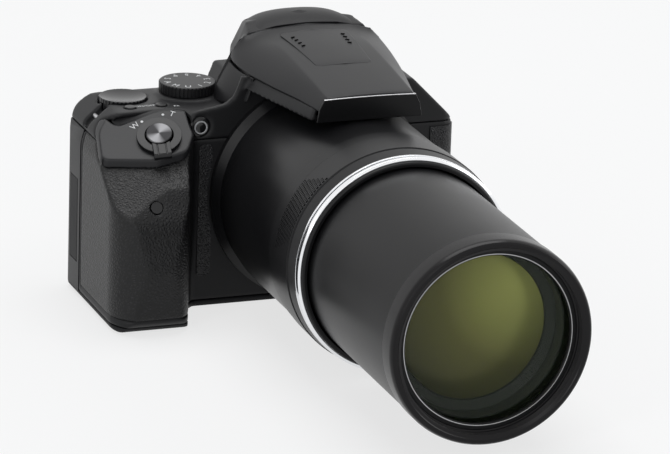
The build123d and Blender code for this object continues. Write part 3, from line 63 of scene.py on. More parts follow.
scene = bpy.context.scene
scene.view_settings.view_transform = "Standard"

# The studio: a white floor that runs into a white surround, one broad soft box overhead and
# a smaller one on each side. The camera looks down at the grip side with a long lens.


def lamp(name, place, aim, size, power):
    light = bpy.data.lights.new(name, "AREA")
    light.shape = "RECTANGLE"
    light.size, light.size_y = size
    light.energy = power
    holder = bpy.data.objects.new(name, light)
    holder.location = place
    holder.rotation_euler = (Vector(aim) - Vector(place)).to_track_quat("-Z", "Y").to_euler()
    scene.collection.objects.link(holder)


lamp("overhead_softbox", place=(0.05, 0.25, 1.5), aim=(0, -0.06, 0.05), size=(1.3, 0.9), power=12)
lamp("right_softbox", place=(1.5, -0.5, 0.85), aim=(0, -0.08, 0.05), size=(0.7, 1.1), power=6)
lamp("left_softbox", place=(-1.4, -1.2, 0.75), aim=(0, -0.08, 0.04), size=(0.5, 0.9), power=5)
lamp("front_fill", place=(-0.4, -1.9, 0.9), aim=(0, -0.05, 0.04), size=(0.8, 0.6), power=2)


def shaded(name):
    """Makes a material, and hands it back with its node tree and its shader."""
    material = bpy.data.materials.new(name)
    material.use_nodes = True
    return material, material.node_tree, material.node_tree.nodes["Principled BSDF"]


def seen_white(tree, shader, share):
    """Mixes plain white into a shader where the camera, gloss or glass looks at it."""
    path = tree.nodes.new("ShaderNodeLightPath")
    white = tree.nodes.new("ShaderNodeEmission")
    seen = tree.nodes.new("ShaderNodeMath")
    more = tree.nodes.new("ShaderNodeMath")
    part = tree.nodes.new("ShaderNodeMath")
    mix = tree.nodes.new("ShaderNodeMixShader")
    seen.operation = more.operation = "MAXIMUM"
    part.operation = "MULTIPLY"
    part.inputs[1].default_value = share
    tree.links.new(path.outputs["Is Camera Ray"], seen.inputs[0])
    tree.links.new(path.outputs["Is Glossy Ray"], seen.inputs[1])
    tree.links.new(seen.outputs[0], more.inputs[0])
    tree.links.new(path.outputs["Is Transmission Ray"], more.inputs[1])
    tree.links.new(more.outputs[0], part.inputs[0])
    tree.links.new(part.outputs[0], mix.inputs[0])
    tree.links.new(shader.outputs[0], mix.inputs[1])
    tree.links.new(white.outputs[0], mix.inputs[2])
    return mix


world = bpy.data.worlds.new("studio")
world.use_nodes = True
scene.world = world
sky = world.node_tree.nodes["Background"]
sky.inputs["Color"].default_value = (0.9, 0.95, 1.0, 1)
sky.inputs["Strength"].default_value = 0.32
seen_sky = seen_white(world.node_tree, sky, share=1.0)
world.node_tree.links.new(seen_sky.outputs[0], world.node_tree.nodes["World Output"].inputs["Surface"])

floor_size = 8.0
floor_drop = 0.0006
floor_mesh = bmesh.new()
bmesh.ops.create_grid(floor_mesh, x_segments=1, y_segments=1, size=floor_size)
floor_data = bpy.data.meshes.new("floor")
floor_mesh.to_mesh(floor_data)
floor_mesh.free()
floor_data.transform(Matrix.Translation((0, 0, -floor_drop)))
floor = bpy.data.objects.new("floor", floor_data)
scene.collection.objects.link(floor)
paper, paper_tree, paper_face = shaded("white_paper")
paper_face.inputs["Base Color"].default_value = (0.92, 0.92, 0.92, 1)
paper_face.inputs["Roughness"].default_value = 0.9
paper_face.inputs["Specular IOR Level"].default_value = 0.0
seen_paper = seen_white(paper_tree, paper_face, share=0.72)
paper_tree.links.new(seen_paper.outputs[0], paper_tree.nodes["Material Output"].inputs["Surface"])
floor_data.materials.append(paper)

photo_width = 670
focus_in_pixels = 4949.8
sensor_width = 36
camera_place = Vector((-0.60776, -1.66478, 0.60727))
camera_turn = radians(-20.545)
camera_rise = radians(18.316)
camera_roll = radians(1.89)
back = Vector((sin(camera_turn) * cos(camera_rise), -cos(camera_turn) * cos(camera_rise), sin(camera_rise)))
level = Vector((cos(camera_turn), sin(camera_turn), 0))
upright = back.cross(level)
across = level * cos(camera_roll) + upright * sin(camera_roll)
above = upright * cos(camera_roll) - level * sin(camera_roll)
camera_data = bpy.data.cameras.new("camera")
camera_data.sensor_width = sensor_width
camera_data.lens = focus_in_pixels * sensor_width / photo_width
camera_data.clip_start = 0.05
camera = bpy.data.objects.new("camera", camera_data)
camera.matrix_world = Matrix.Translation(camera_place) @ Matrix((across, above, back)).transposed().to_4x4()
scene.collection.objects.link(camera)
scene.camera = camera

# The casing: mouldings of filled black plastic, satin with a fine even grain, screwed
# together. Their outer edges are rounded, and their parting lines meet in a narrow groove.


def add_socket(group, name, kind, side, value=None):
    socket = group.interface.new_socket(name=name, in_out=side, socket_type="NodeSocket" + kind)
    if value is not None:
        socket.default_value = value


grain = bpy.data.node_groups.new("moulded_grain", "ShaderNodeTree")
add_socket(grain, "Colour", "Color", "INPUT", (0.02, 0.02, 0.02, 1))
add_socket(grain, "Pitch", "Float", "INPUT", 2500.0)
add_socket(grain, "Depth", "Float", "INPUT", 0.05)
add_socket(grain, "Gloss low", "Float", "INPUT", 0.4)
add_socket(grain, "Gloss high", "Float", "INPUT", 0.5)
add_socket(grain, "Colour", "Color", "OUTPUT")
add_socket(grain, "Roughness", "Float", "OUTPUT")
add_socket(grain, "Normal", "Vector", "OUTPUT")
grain_in = grain.nodes.new("NodeGroupInput")
grain_out = grain.nodes.new("NodeGroupOutput")
grain_place = grain.nodes.new("ShaderNodeTexCoord")
grain_fine = grain.nodes.new("ShaderNodeTexNoise")
grain_broad = grain.nodes.new("ShaderNodeTexNoise")
grain_bump = grain.nodes.new("ShaderNodeBump")
grain_rough = grain.nodes.new("ShaderNodeMapRange")
grain_shade = grain.nodes.new("ShaderNodeMapRange")
grain_tint = grain.nodes.new("ShaderNodeVectorMath")
grain_fine.inputs["Detail"].default_value = 2
grain_broad.inputs["Scale"].default_value = 38
grain_broad.inputs["Detail"].default_value = 3
grain_bump.inputs["Distance"].default_value = 0.00025
grain_shade.inputs["To Min"].default_value = 0.86
grain_shade.inputs["To Max"].default_value = 1.14
grain_tint.operation = "SCALE"
for source, target in (
    (grain_place.outputs["Object"], grain_fine.inputs["Vector"]),
    (grain_place.outputs["Object"], grain_broad.inputs["Vector"]),
    (grain_in.outputs["Pitch"], grain_fine.inputs["Scale"]),
    (grain_fine.outputs[0], grain_bump.inputs["Height"]),
    (grain_in.outputs["Depth"], grain_bump.inputs["Strength"]),
    (grain_broad.outputs[0], grain_rough.inputs["Value"]),
    (grain_in.outputs["Gloss low"], grain_rough.inputs["To Min"]),
    (grain_in.outputs["Gloss high"], grain_rough.inputs["To Max"]),
    (grain_fine.outputs[0], grain_shade.inputs["Value"]),
    (grain_in.outputs["Colour"], grain_tint.inputs[0]),
    (grain_shade.outputs[0], grain_tint.inputs["Scale"]),
    (grain_tint.outputs[0], grain_out.inputs["Colour"]),
    (grain_rough.outputs[0], grain_out.inputs["Roughness"]),
    (grain_bump.outputs[0], grain_out.inputs["Normal"]),
):
    grain.links.new(source, target)


def grained(name, colour, gloss, pitch, depth, specular, metal=0.0):
    """Plastic or metal with moulded grain; gloss is the range of its roughness."""
    material, tree, face = shaded(name)
    group = tree.nodes.new("ShaderNodeGroup")
    group.node_tree = grain
    group.inputs["Colour"].default_value = (*colour, 1)
    group.inputs["Pitch"].default_value = pitch
    group.inputs["Depth"].default_value = depth
    group.inputs["Gloss low"].default_value = gloss[0]
    group.inputs["Gloss high"].default_value = gloss[1]
    face.inputs["Specular IOR Level"].default_value = specular
    face.inputs["Metallic"].default_value = metal
    tree.links.new(group.outputs["Colour"], face.inputs["Base Color"])
    tree.links.new(group.outputs["Roughness"], face.inputs["Roughness"])
    tree.links.new(group.outputs["Normal"], face.inputs["Normal"])
    return material


def finished(mesh, name, material, body, bevel=0.0, keep=30):
    """Makes a named piece of a bmesh: edges turned by more than keep degrees stay crisp or get a bevel."""
    data = bpy.data.meshes.new(name)
    for face in mesh.faces:
        face.smooth = True
    for edge in mesh.edges:
        if len(edge.link_faces) == 2 and edge.calc_face_angle() > radians(keep):
            edge.smooth = bevel > 0
    mesh.to_mesh(data)
    mesh.free()
    data.materials.append(material)
    piece = bpy.data.objects.new(name, data)
    scene.collection.objects.link(piece)
    if bevel > 0:
        edge_round = piece.modifiers.new("edge_round", "BEVEL")
        edge_round.width = bevel
        edge_round.segments = 2
        edge_round.limit_method = "ANGLE"
        edge_round.angle_limit = radians(keep)
        edge_round.use_clamp_overlap = False
        flat_faces = piece.modifiers.new("flat_faces", "WEIGHTED_NORMAL")
        flat_faces.keep_sharp = True
    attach(piece, body)
    return piece


def stand_for(piece, node):
    """Hides the CAD node whose place the piece takes."""
    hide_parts(node)


def joined_copy(node):
    """Copies a CAD node's mesh with its loose triangles joined up."""
    mesh = bmesh.new()
    mesh.from_mesh(nodes[node].data)
    bmesh.ops.remove_doubles(mesh, verts=mesh.verts, dist=1e-6)
    return mesh


def moulded(node, material, bevel=0.00012):
    """Stands for a CAD node in its own shape, with smooth curves and fine bevels."""
    stand_for(finished(joined_copy(node), node + "_skin", material, nodes[node]["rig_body"], bevel), node)


def soft_edged(node, material, grain_size=0.0007, rounds=4):
    """Stands for a CAD node whose edges are all rounded, as a moulding's are."""
    piece = finished(joined_copy(node), node + "_skin", material, nodes[node]["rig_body"], keep=180)
    skin = piece.modifiers.new("even_skin", "REMESH")
    skin.mode = "VOXEL"
    skin.voxel_size = grain_size
    skin.use_smooth_shade = True
    ease = piece.modifiers.new("rounded_edges", "SMOOTH")
    ease.factor = 0.5
    ease.iterations = rounds
    stand_for(piece, node)


casing_black = grained(
    "casing_black", (0.0115, 0.0115, 0.0125), gloss=(0.4, 0.48), pitch=3200, depth=0.06, specular=0.22
)
casing_dull = grained("casing_dull", (0.010, 0.010, 0.011), gloss=(0.5, 0.6), pitch=2600, depth=0.1, specular=0.2)
for node in ("front_shell", "top_cover"):
    soft_edged(node, casing_black)
moulded("rear_cover", casing_black, bevel=0.0)
soft_edged("bottom_plate", casing_dull)

# The grip skin: soft black rubber moulded with a leather pebble, stuck round the grip's core.
# The same pebble is on the strip beside the lens and on the patch round the other shoulder.
pebble = bpy.data.node_groups.new("leather_pebble", "ShaderNodeTree")
add_socket(pebble, "Pitch", "Float", "INPUT", 900.0)
add_socket(pebble, "Depth", "Float", "INPUT", 0.6)
add_socket(pebble, "Shade", "Float", "OUTPUT")
add_socket(pebble, "Normal", "Vector", "OUTPUT")
pebble_in = pebble.nodes.new("NodeGroupInput")
pebble_out = pebble.nodes.new("NodeGroupOutput")
pebble_place = pebble.nodes.new("ShaderNodeTexCoord")
pebble_warp = pebble.nodes.new("ShaderNodeTexNoise")
pebble_sway = pebble.nodes.new("ShaderNodeVectorMath")
pebble_cells = pebble.nodes.new("ShaderNodeTexVoronoi")
pebble_rise = pebble.nodes.new("ShaderNodeMapRange")
pebble_bump = pebble.nodes.new("ShaderNodeBump")
pebble_painted_shade = pebble.nodes.new("ShaderNodeMapRange")
sway_width = 0.0011
pebble_warp.inputs["Scale"].default_value = 420
pebble_sway.operation = "MULTIPLY_ADD"
pebble_sway.inputs[1].default_value = (sway_width, sway_width, sway_width)
pebble_cells.feature = "DISTANCE_TO_EDGE"
pebble_rise.interpolation_type = "SMOOTHSTEP"
pebble_rise.inputs["From Max"].default_value = 0.42
pebble_bump.inputs["Distance"].default_value = 0.00035
# Painted shade: the colour darkens from the pebbles' crowns into the crevices between them.
pebble_painted_shade.inputs["To Min"].default_value = 0.55
pebble_painted_shade.inputs["To Max"].default_value = 1.15
for source, target in (
    (pebble_place.outputs["Object"], pebble_warp.inputs["Vector"]),
    (pebble_warp.outputs["Color"], pebble_sway.inputs[0]),
    (pebble_place.outputs["Object"], pebble_sway.inputs[2]),
    (pebble_sway.outputs[0], pebble_cells.inputs["Vector"]),
    (pebble_in.outputs["Pitch"], pebble_cells.inputs["Scale"]),
    (pebble_cells.outputs["Distance"], pebble_rise.inputs["Value"]),
    (pebble_rise.outputs[0], pebble_bump.inputs["Height"]),
    (pebble_in.outputs["Depth"], pebble_bump.inputs["Strength"]),
    (pebble_rise.outputs[0], pebble_painted_shade.inputs["Value"]),
    (pebble_painted_shade.outputs[0], pebble_out.inputs["Shade"]),
    (pebble_bump.outputs[0], pebble_out.inputs["Normal"]),
):
    pebble.links.new(source, target)


def pebbled(name, colour, pitch, depth):
    """Rubber with a leather pebble, with painted shade darkening the crevices between the pebbles."""
    material, tree, face = shaded(name)
    group = tree.nodes.new("ShaderNodeGroup")
    group.node_tree = pebble
    group.inputs["Pitch"].default_value = pitch
    group.inputs["Depth"].default_value = depth
    tint = tree.nodes.new("ShaderNodeVectorMath")
    tint.operation = "SCALE"
    tint.inputs[0].default_value = colour
    tree.links.new(group.outputs["Shade"], tint.inputs["Scale"])
    tree.links.new(tint.outputs[0], face.inputs["Base Color"])
    tree.links.new(group.outputs["Normal"], face.inputs["Normal"])
    face.inputs["Roughness"].default_value = 0.42
    face.inputs["Specular IOR Level"].default_value = 0.3
    return material


grip_pebble = pebbled("grip_pebble", (0.009, 0.009, 0.0097), pitch=820, depth=0.4)
trim_pebble = pebbled("trim_pebble", (0.020, 0.020, 0.022), pitch=1000, depth=0.8)
soft_edged("grip_rubber", grip_pebble, grain_size=0.0006, rounds=14)
moulded("leather_trim", trim_pebble, bevel=0.0)

# The sloping panel on the grip: a smooth satin moulding that carries the zoom lever and the
# shutter button, whose turned metal top carries a painted fan of highlights. Its marks are printed in white.
panel_satin = grained(
    "panel_satin", (0.0135, 0.0135, 0.015), gloss=(0.34, 0.42), pitch=4200, depth=0.03, specular=0.28
)
control_black = grained(
    "control_black", (0.009, 0.009, 0.010), gloss=(0.26, 0.34), pitch=4200, depth=0.03, specular=0.3
)
soft_edged("grip_top", panel_satin, grain_size=0.0004, rounds=6)
moulded("zoom_lever", control_black, bevel=0.00015)

slope_normal = Vector((-0.19, -0.50, 0.845)).normalized()
shutter_seat = Vector((-0.06243, -0.0235, 0.06747))
slope_turn = Vector((0, 0, 1)).rotation_difference(slope_normal).to_matrix().to_4x4()
to_button = (Matrix.Translation(shutter_seat) @ slope_turn).inverted()
# Painted highlight: a radial sweep round the shutter seat becomes bright and dark fans in the base colour of the
# metal top.
painted_highlight_fans = 2
dark_chrome, chrome_tree, chrome_face = shaded("dark_chrome")
chrome_face.inputs["Metallic"].default_value = 1.0
chrome_face.inputs["Roughness"].default_value = 0.3
chrome_place = chrome_tree.nodes.new("ShaderNodeTexCoord")
chrome_shift = chrome_tree.nodes.new("ShaderNodeMapping")
chrome_rings = chrome_tree.nodes.new("ShaderNodeTexGradient")
chrome_painted_fans = chrome_tree.nodes.new("ShaderNodeMath")
chrome_swing = chrome_tree.nodes.new("ShaderNodeMath")
chrome_even = chrome_tree.nodes.new("ShaderNodeMath")
chrome_tone = chrome_tree.nodes.new("ShaderNodeValToRGB")
chrome_shift.inputs["Location"].default_value = to_button.to_translation()
chrome_shift.inputs["Rotation"].default_value = to_button.to_euler()
chrome_rings.gradient_type = "RADIAL"
chrome_painted_fans.operation = "MULTIPLY"
chrome_painted_fans.inputs[1].default_value = painted_highlight_fans * 2 * pi
chrome_swing.operation = "SINE"
chrome_even.operation = "MULTIPLY_ADD"
chrome_even.inputs[1].default_value = 0.5
chrome_even.inputs[2].default_value = 0.5
chrome_painted_shade, chrome_painted_highlight = chrome_tone.color_ramp.elements
chrome_painted_shade.position = 0.25
chrome_painted_shade.color = (0.02, 0.02, 0.021, 1)
chrome_painted_highlight.position = 0.95
chrome_painted_highlight.color = (0.12, 0.12, 0.125, 1)
for source, target in (
    (chrome_place.outputs["Object"], chrome_shift.inputs["Vector"]),
    (chrome_shift.outputs[0], chrome_rings.inputs["Vector"]),
    (chrome_rings.outputs["Fac"], chrome_painted_fans.inputs[0]),
    (chrome_painted_fans.outputs[0], chrome_swing.inputs[0]),
    (chrome_swing.outputs[0], chrome_even.inputs[0]),
    (chrome_even.outputs[0], chrome_tone.inputs["Fac"]),
    (chrome_tone.outputs["Color"], chrome_face.inputs["Base Color"]),
):
    chrome_tree.links.new(source, target)
moulded("shutter_button", dark_chrome, bevel=0.0)

mark_white = grained("mark_white", (0.78, 0.78, 0.78), gloss=(0.5, 0.6), pitch=2600, depth=0.0, specular=0.2)
mark_height = 0.00002
mark_lift = 0.00003


def printed(words, name, size, place, body):
    """Prints plain white marks: flat text, made a mesh, then laid where the matrix says."""
    text = bpy.data.curves.new(name, "FONT")
    text.body = words
    text.size = size
    text.align_x = "CENTER"
    text.align_y = "CENTER"
    text.extrude = mark_height
    text.resolution_u = 3
    holder = bpy.data.objects.new(name, text)
    scene.collection.objects.link(holder)
    bpy.context.view_layer.update()
    data = bpy.data.meshes.new_from_object(holder.evaluated_get(bpy.context.evaluated_depsgraph_get()))
    bpy.data.objects.remove(holder)
    data.transform(place)
    data.materials.clear()
    data.materials.append(mark_white)
    mark = bpy.data.objects.new(name, data)
    scene.collection.objects.link(mark)
    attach(mark, body)


def on_slope(x, y, turn=0.0):
    """Matrix that lays a mark on the sloping panel at a point of the plan, to be read from the front."""
    run = slope_normal.x * (x - shutter_seat.x) + slope_normal.y * (y - shutter_seat.y)
    spot = Vector((x, y, shutter_seat.z - run / slope_normal.z)) + slope_normal * mark_lift
    right = (Vector((1, 0, 0)) - slope_normal * slope_normal.x).normalized()
    up = slope_normal.cross(right)
    base = Matrix((right, up, slope_normal)).transposed().to_4x4()
    return Matrix.Translation(spot) @ base @ Matrix.Rotation(turn, 4, "Z")


dot = "•"
for words, name, size, place in (
    ("W", "wide_mark", 0.0034, on_slope(-0.06946, -0.01629, radians(30))),
    ("T", "tele_mark", 0.0034, on_slope(-0.05516, -0.01594, radians(-35))),
    (dot, "wide_dot", 0.0042, on_slope(-0.06655, -0.01555)),
    (dot, "tele_dot", 0.0042, on_slope(-0.05841, -0.01528)),
):
    printed(words, name, size, place, "camera_body")

# The deck controls: a knurled mode dial, a dished command dial and two small push buttons.
# The dial's plain letters and numbers are printed round its flat top.
dial_black = grained(
    "dial_black", (0.009, 0.009, 0.010), gloss=(0.34, 0.42), pitch=4200, depth=0.04, specular=0.28
)
dish_gloss = grained(
    "dish_gloss", (0.010, 0.010, 0.011), gloss=(0.18, 0.24), pitch=4200, depth=0.02, specular=0.4
)
moulded("mode_dial", dial_black, bevel=0.0)
moulded("command_dial", dish_gloss, bevel=0.0)
moulded("power_button", control_black, bevel=0.0001)
moulded("fn_button", control_black, bevel=0.0001)
dial_centre = Vector((-0.0422, 0.0056, 0.0))
dial_top = Vector((0, 0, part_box("mode_dial")[1][2] + 0.00001))
dial_marks = "PSAMU12345"
dial_start = radians(200)
mark_circle = 0.0078
for i, letter in enumerate(dial_marks):
    turn = 2 * pi * i / len(dial_marks) + dial_start
    spot = dial_centre + Vector((sin(turn), -cos(turn), 0)) * mark_circle + dial_top
    printed(letter, "dial_mark_" + letter, 0.0036, Matrix.Translation(spot) @ Matrix.Rotation(turn, 4, "Z"),
            "mode_dial")
deck_level = 0.0744
for words, name, x, y in (("ON/OFF", "power_words", -0.0625, -0.0065), ("Fn", "fn_words", -0.0512, -0.0092)):
    spot = Matrix.Translation((x, y, deck_level + mark_lift))
    printed(words, name, 0.0022, spot, "camera_body")

# The deck's front edge: the top casing rolls down in a soft curve to meet the sloping panel
# of the grip along a crease. It is one thin curved strip, moulded with the top casing.


def sheet_form(name, rows, material, body, thick, folds=()):
    """Lays a grid over rows of points in millimetres, folds the named lines and smooths the rest."""
    count = len(rows[0])
    mesh = bmesh.new()
    bmesh.ops.create_grid(mesh, x_segments=count - 1, y_segments=len(rows) - 1, size=1)
    sharp = mesh.edges.layers.float.new("crease_edge")
    spot = {}
    for v in mesh.verts:
        i = round((v.co.x + 1) / 2 * (count - 1))
        j = round((v.co.y + 1) / 2 * (len(rows) - 1))
        spot[v] = (i, j)
        v.co = Vector(rows[j][i]) / 1000
    for edge in mesh.edges:
        (i0, j0), (i1, j1) = spot[edge.verts[0]], spot[edge.verts[1]]
        for kind, place, first, last, value in folds:
            if kind == "column" and i0 == i1 == place and first <= min(j0, j1) and max(j0, j1) <= last:
                edge[sharp] = value
            if kind == "row" and j0 == j1 == place and first <= min(i0, i1) and max(i0, i1) <= last:
                edge[sharp] = value
    bmesh.ops.recalc_face_normals(mesh, faces=mesh.faces)
    centre = sum((v.co for v in mesh.verts), Vector()) / len(mesh.verts)
    outward = sum(f.normal.dot(f.calc_center_median() - centre) for f in mesh.faces)
    if outward < 0:
        bmesh.ops.reverse_faces(mesh, faces=mesh.faces)
    piece = finished(mesh, name, material, body, keep=180)
    wall = piece.modifiers.new("wall", "SOLIDIFY")
    wall.thickness = thick
    wall.offset = -1
    wall.edge_crease_rim = 1.0
    smooth = piece.modifiers.new("smooth_form", "SUBSURF")
    smooth.levels = smooth.render_levels = 3
    return piece


crease = ((-77.0, -8.4, 73.1), (-75.6, -11.1, 71.9), (-72.6, -12.5, 71.7), (-66.0, -13.2, 72.8),
          (-61.8, -12.4, 74.2), (-58.8, -12.8, 74.6), (-53.5, -14.1, 75.0))
deck_top = 74.42
shoulder_x = -76.5
fillet_rows = [
    [(x, y - 3.0, z - 2.6) for x, y, z in crease],
    [(x, y, z + 0.05) for x, y, z in crease],
    [(x, y + 1.6, z + 0.7 * max(deck_top - z, 0) if x > shoulder_x else 73.15) for x, y, z in crease],
    [(x, y + 4.5, deck_top if x > shoulder_x else 73.2) for x, y, z in crease],
]
deck_fillet = sheet_form("deck_fillet", fillet_rows, casing_black, "camera_body", thick=0.0008)

# The flash head over the lens: a satin lid with soft edges and a raised panel on top.
# A gloss black plate closes its front, with a thin bright line along the upper edge.
head_satin = grained(
    "head_satin", (0.0125, 0.0125, 0.0137), gloss=(0.36, 0.44), pitch=3200, depth=0.05, specular=0.25
)
plate_gloss = grained(
    "plate_gloss", (0.006, 0.006, 0.0065), gloss=(0.22, 0.28), pitch=4200, depth=0.0, specular=0.18
)
flash_lens = grained("flash_lens", (0.75, 0.76, 0.78), gloss=(0.15, 0.25), pitch=900, depth=0.3, specular=0.5)
silver_line = grained(
    "silver_line", (0.42, 0.42, 0.43), gloss=(0.25, 0.3), pitch=4200, depth=0.0, specular=0.5, metal=1.0
)
middle_x = 2.0


def mirrored(y, half):
    """Makes a row from the foot on one side over the crown to the foot on the other."""
    left = [(middle_x - w, y, z) for w, z in half]
    right = [(middle_x + w, y, z) for w, z in reversed(half[:-1])]
    return left + right


head_rows = [
    mirrored(-1.4, [(30.5, 89.3), (28.6, 93.2), (25.0, 96.9), (20.2, 98.3), (10.5, 99.4), (0, 99.9)]),
    mirrored(-5.0, [(31.0, 88.9), (29.4, 92.2), (24.8, 95.4), (19.2, 97.3), (10.5, 98.8), (0, 99.3)]),
    mirrored(-12.0, [(30.8, 88.4), (28.6, 91.8), (22.6, 95.8), (17.4, 97.4), (10.0, 98.5), (0, 98.9)]),
    mirrored(-22.0, [(29.6, 88.1), (26.2, 92.0), (20.4, 96.0), (17.0, 97.3), (10.0, 98.1), (0, 98.4)]),
    mirrored(-38.0, [(26.4, 88.0), (23.4, 91.6), (19.2, 94.9), (16.8, 96.0), (10.0, 96.7), (0, 97.0)]),
    mirrored(-54.0, [(22.6, 87.9), (20.6, 90.6), (18.0, 93.4), (16.6, 94.3), (10.0, 94.9), (0, 95.2)]),
    mirrored(-68.6, [(19.8, 87.5), (18.6, 89.6), (17.2, 91.9), (16.4, 92.5), (10.0, 93.1), (0, 93.3)]),
    mirrored(-69.9, [(19.3, 86.8), (18.3, 89.0), (17.0, 91.3), (16.2, 92.0), (10.0, 92.6), (0, 92.8)]),
]
head_folds = [("column", 3, 2, 7, 0.75), ("column", 7, 2, 7, 0.75), ("row", 0, 0, 10, 0.7), ("row", 6, 0, 10, 0.5)]
flash_skin = sheet_form("flash_head_skin", head_rows, head_satin, "flash_unit", thick=0.0013, folds=head_folds)
stand_for(flash_skin, "flash_head")

panel_rows = []
for y, half_width, edge_z, crown_z in (
    (-6.5, 12.5, 98.55, 99.3), (-9.0, 13.2, 98.55, 99.25), (-20.0, 12.4, 98.15, 98.75),
    (-34.0, 11.4, 97.0, 97.5), (-40.5, 11.0, 96.35, 96.75), (-42.5, 10.6, 95.95, 96.3),
):
    panel_rows.append(mirrored(y, [(half_width, edge_z), (0.8 * half_width, edge_z + 0.25), (0, crown_z + 0.25)]))
panel_folds = [("row", 0, 0, 4, 0.8), ("row", 5, 0, 4, 0.6), ("column", 0, 0, 5, 0.6), ("column", 4, 0, 5, 0.6)]
panel = sheet_form("raised_panel", panel_rows, head_satin, "flash_unit", thick=0.0008, folds=panel_folds)

# The sound slots are near-black boxes set into the raised panel: painted shade standing for the depth of the
# openings.
slot_painted_shade = grained("slot_painted_shade", (0.002, 0.002, 0.002), gloss=(0.7, 0.8), pitch=2600, depth=0.0, specular=0.05)
slot_size = (0.0016, 0.0007, 0.0003)
slot_pitch = 3.2
for side, side_name in ((-1, "left"), (1, "right")):
    for i in range(4):
        slots = bmesh.new()
        bmesh.ops.create_cube(slots, size=1)
        bmesh.ops.scale(slots, vec=slot_size, verts=slots.verts)
        bmesh.ops.bevel(
            slots, geom=slots.edges[:], offset=0.0001, affect="EDGES", segments=2, profile=0.5, material=-1
        )
        slant = Matrix.Rotation(radians(-28 * side), 3, "Z")
        bmesh.ops.rotate(slots, cent=(0, 0, 0), matrix=slant, verts=slots.verts)
        x = middle_x + side * (9.8 - 0.25 * i)
        y = -13.0 - slot_pitch * i
        z = 98.85 - 0.055 * (slot_pitch * i)
        bmesh.ops.translate(slots, vec=(x / 1000, y / 1000, z / 1000), verts=slots.verts)
        vent = finished(slots, "sound_slot_%s%d" % (side_name, i + 1), slot_painted_shade, "flash_unit")

plate_outline = ((-18.2, 83.3), (22.2, 83.3), (21.3, 88.3), (19.6, 91.6), (10.0, 92.0), (2.0, 92.1), (-6.0, 92.0),
                 (-15.6, 91.6), (-17.3, 88.3))
plate_back = -0.0688
plate_depth = 0.0010
plate_mesh = bmesh.new()
plate_face = plate_mesh.faces.new([plate_mesh.verts.new((x / 1000, plate_back, z / 1000)) for x, z in plate_outline])
grown = bmesh.ops.extrude_face_region(plate_mesh, geom=[plate_face])["geom"]
front_verts = [part for part in grown if isinstance(part, bmesh.types.BMVert)]
bmesh.ops.translate(plate_mesh, vec=(0, -plate_depth, 0), verts=front_verts)
bmesh.ops.recalc_face_normals(plate_mesh, faces=plate_mesh.faces)
stand_for(finished(plate_mesh, "flash_plate_skin", plate_gloss, "flash_unit", bevel=0.00025, keep=25), "flash_plate")
moulded("flash_window", flash_lens, bevel=0.0002)
line_rows = [
    mirrored(y, [(17.9, z), (11.0, z + 0.28), (0, z + 0.42)])
    for y, z in ((-68.9, 91.98), (-69.7, 91.92), (-69.95, 91.75), (-69.97, 91.55))
]
bright_edge = sheet_form("plate_bright_edge", line_rows, silver_line, "flash_unit", thick=0.0002)

# The viewfinder housing behind the flash head: one soft moulding that rises from the deck,
# with a squared cap over the eyepiece and flanks that sweep out towards the lens.
housing_rows = [
    mirrored(18.9, [(27.5, 74.2), (23.6, 81.5), (18.6, 90.6), (17.9, 93.0), (17.8, 97.2), (11.0, 99.6), (0, 100.2)]),
    mirrored(16.0, [(29.6, 74.2), (25.4, 81.5), (20.2, 90.8), (19.2, 93.4), (19.0, 98.4), (12.0, 101.6), (0, 102.3)]),
    mirrored(8.0, [(33.0, 74.2), (29.2, 82.0), (23.8, 90.6), (21.8, 94.4), (20.9, 99.0), (12.8, 102.4), (0, 103.1)]),
    mirrored(2.0, [(36.2, 74.2), (32.6, 82.0), (28.2, 90.4), (25.0, 95.6), (21.6, 98.4), (13.0, 101.2), (0, 101.9)]),
    mirrored(-0.6, [(37.4, 74.2), (34.2, 82.0), (30.2, 89.9), (26.4, 95.6), (21.4, 97.9), (12.0, 99.9), (0, 100.5)]),
]
housing_folds = [("row", 0, 0, 12, 0.7), ("row", 4, 0, 12, 0.8)]
viewfinder = sheet_form(
    "viewfinder_housing", housing_rows, casing_black, "camera_body", thick=0.0014, folds=housing_folds
)
flank_sections = (
    (-0.4, (37.4, 74.2), (34.2, 82.0), (30.6, 88.2)),
    (-8.0, (37.2, 74.6), (34.6, 80.6), (30.8, 87.2)),
    (-16.0, (35.2, 75.6), (32.8, 80.8), (29.8, 87.0)),
    (-24.0, (31.0, 78.6), (30.0, 82.2), (28.7, 87.8)),
)
for side, name in ((-1, "left_flank"), (1, "right_flank")):
    rows = []
    for y, foot, low, top in flank_sections:
        inner = (top[0] - 3, top[1] - 1.2)
        rows.append([(middle_x + side * w, y, z) for w, z in (foot, low, top, inner)])
    flank = sheet_form(name, rows, casing_black, "camera_body", thick=0.0012, folds=[("column", 2, 0, 3, 0.8)])

# The fixed barrel: a smooth black housing with a glossy neck, a wide ring with a pad of small
# studs on the grip's side, and a bright ring whose groove holds a dark ring of painted shade. All are turned on one
# axis.
lens_axis = (0.0, 0.0425)


def turned(outline, steps=192, axis=lens_axis):
    """Spins a (Y, radius) outline in millimetres about a line along Y; one that starts on it stays open."""
    mesh = bmesh.new()
    x, z = axis
    corners = [mesh.verts.new((x + r / 1000, y / 1000, z)) for y, r in outline]
    count = len(corners) if outline[0][1] > 0 else len(corners) - 1
    rim = [mesh.edges.new((corners[i], corners[(i + 1) % len(corners)])) for i in range(count)]
    bmesh.ops.spin(
        mesh, geom=corners + rim, cent=(x, 0, z), axis=(0, 1, 0), angle=2 * pi, steps=steps, use_merge=True
    )
    bmesh.ops.remove_doubles(mesh, verts=mesh.verts, dist=1e-6)
    bmesh.ops.recalc_face_normals(mesh, faces=mesh.faces)
    return mesh


def round_piece(node, outline, material, bevel=0.00012):
    stand_for(finished(turned(outline), node + "_skin", material, nodes[node]["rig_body"], bevel, keep=18), node)


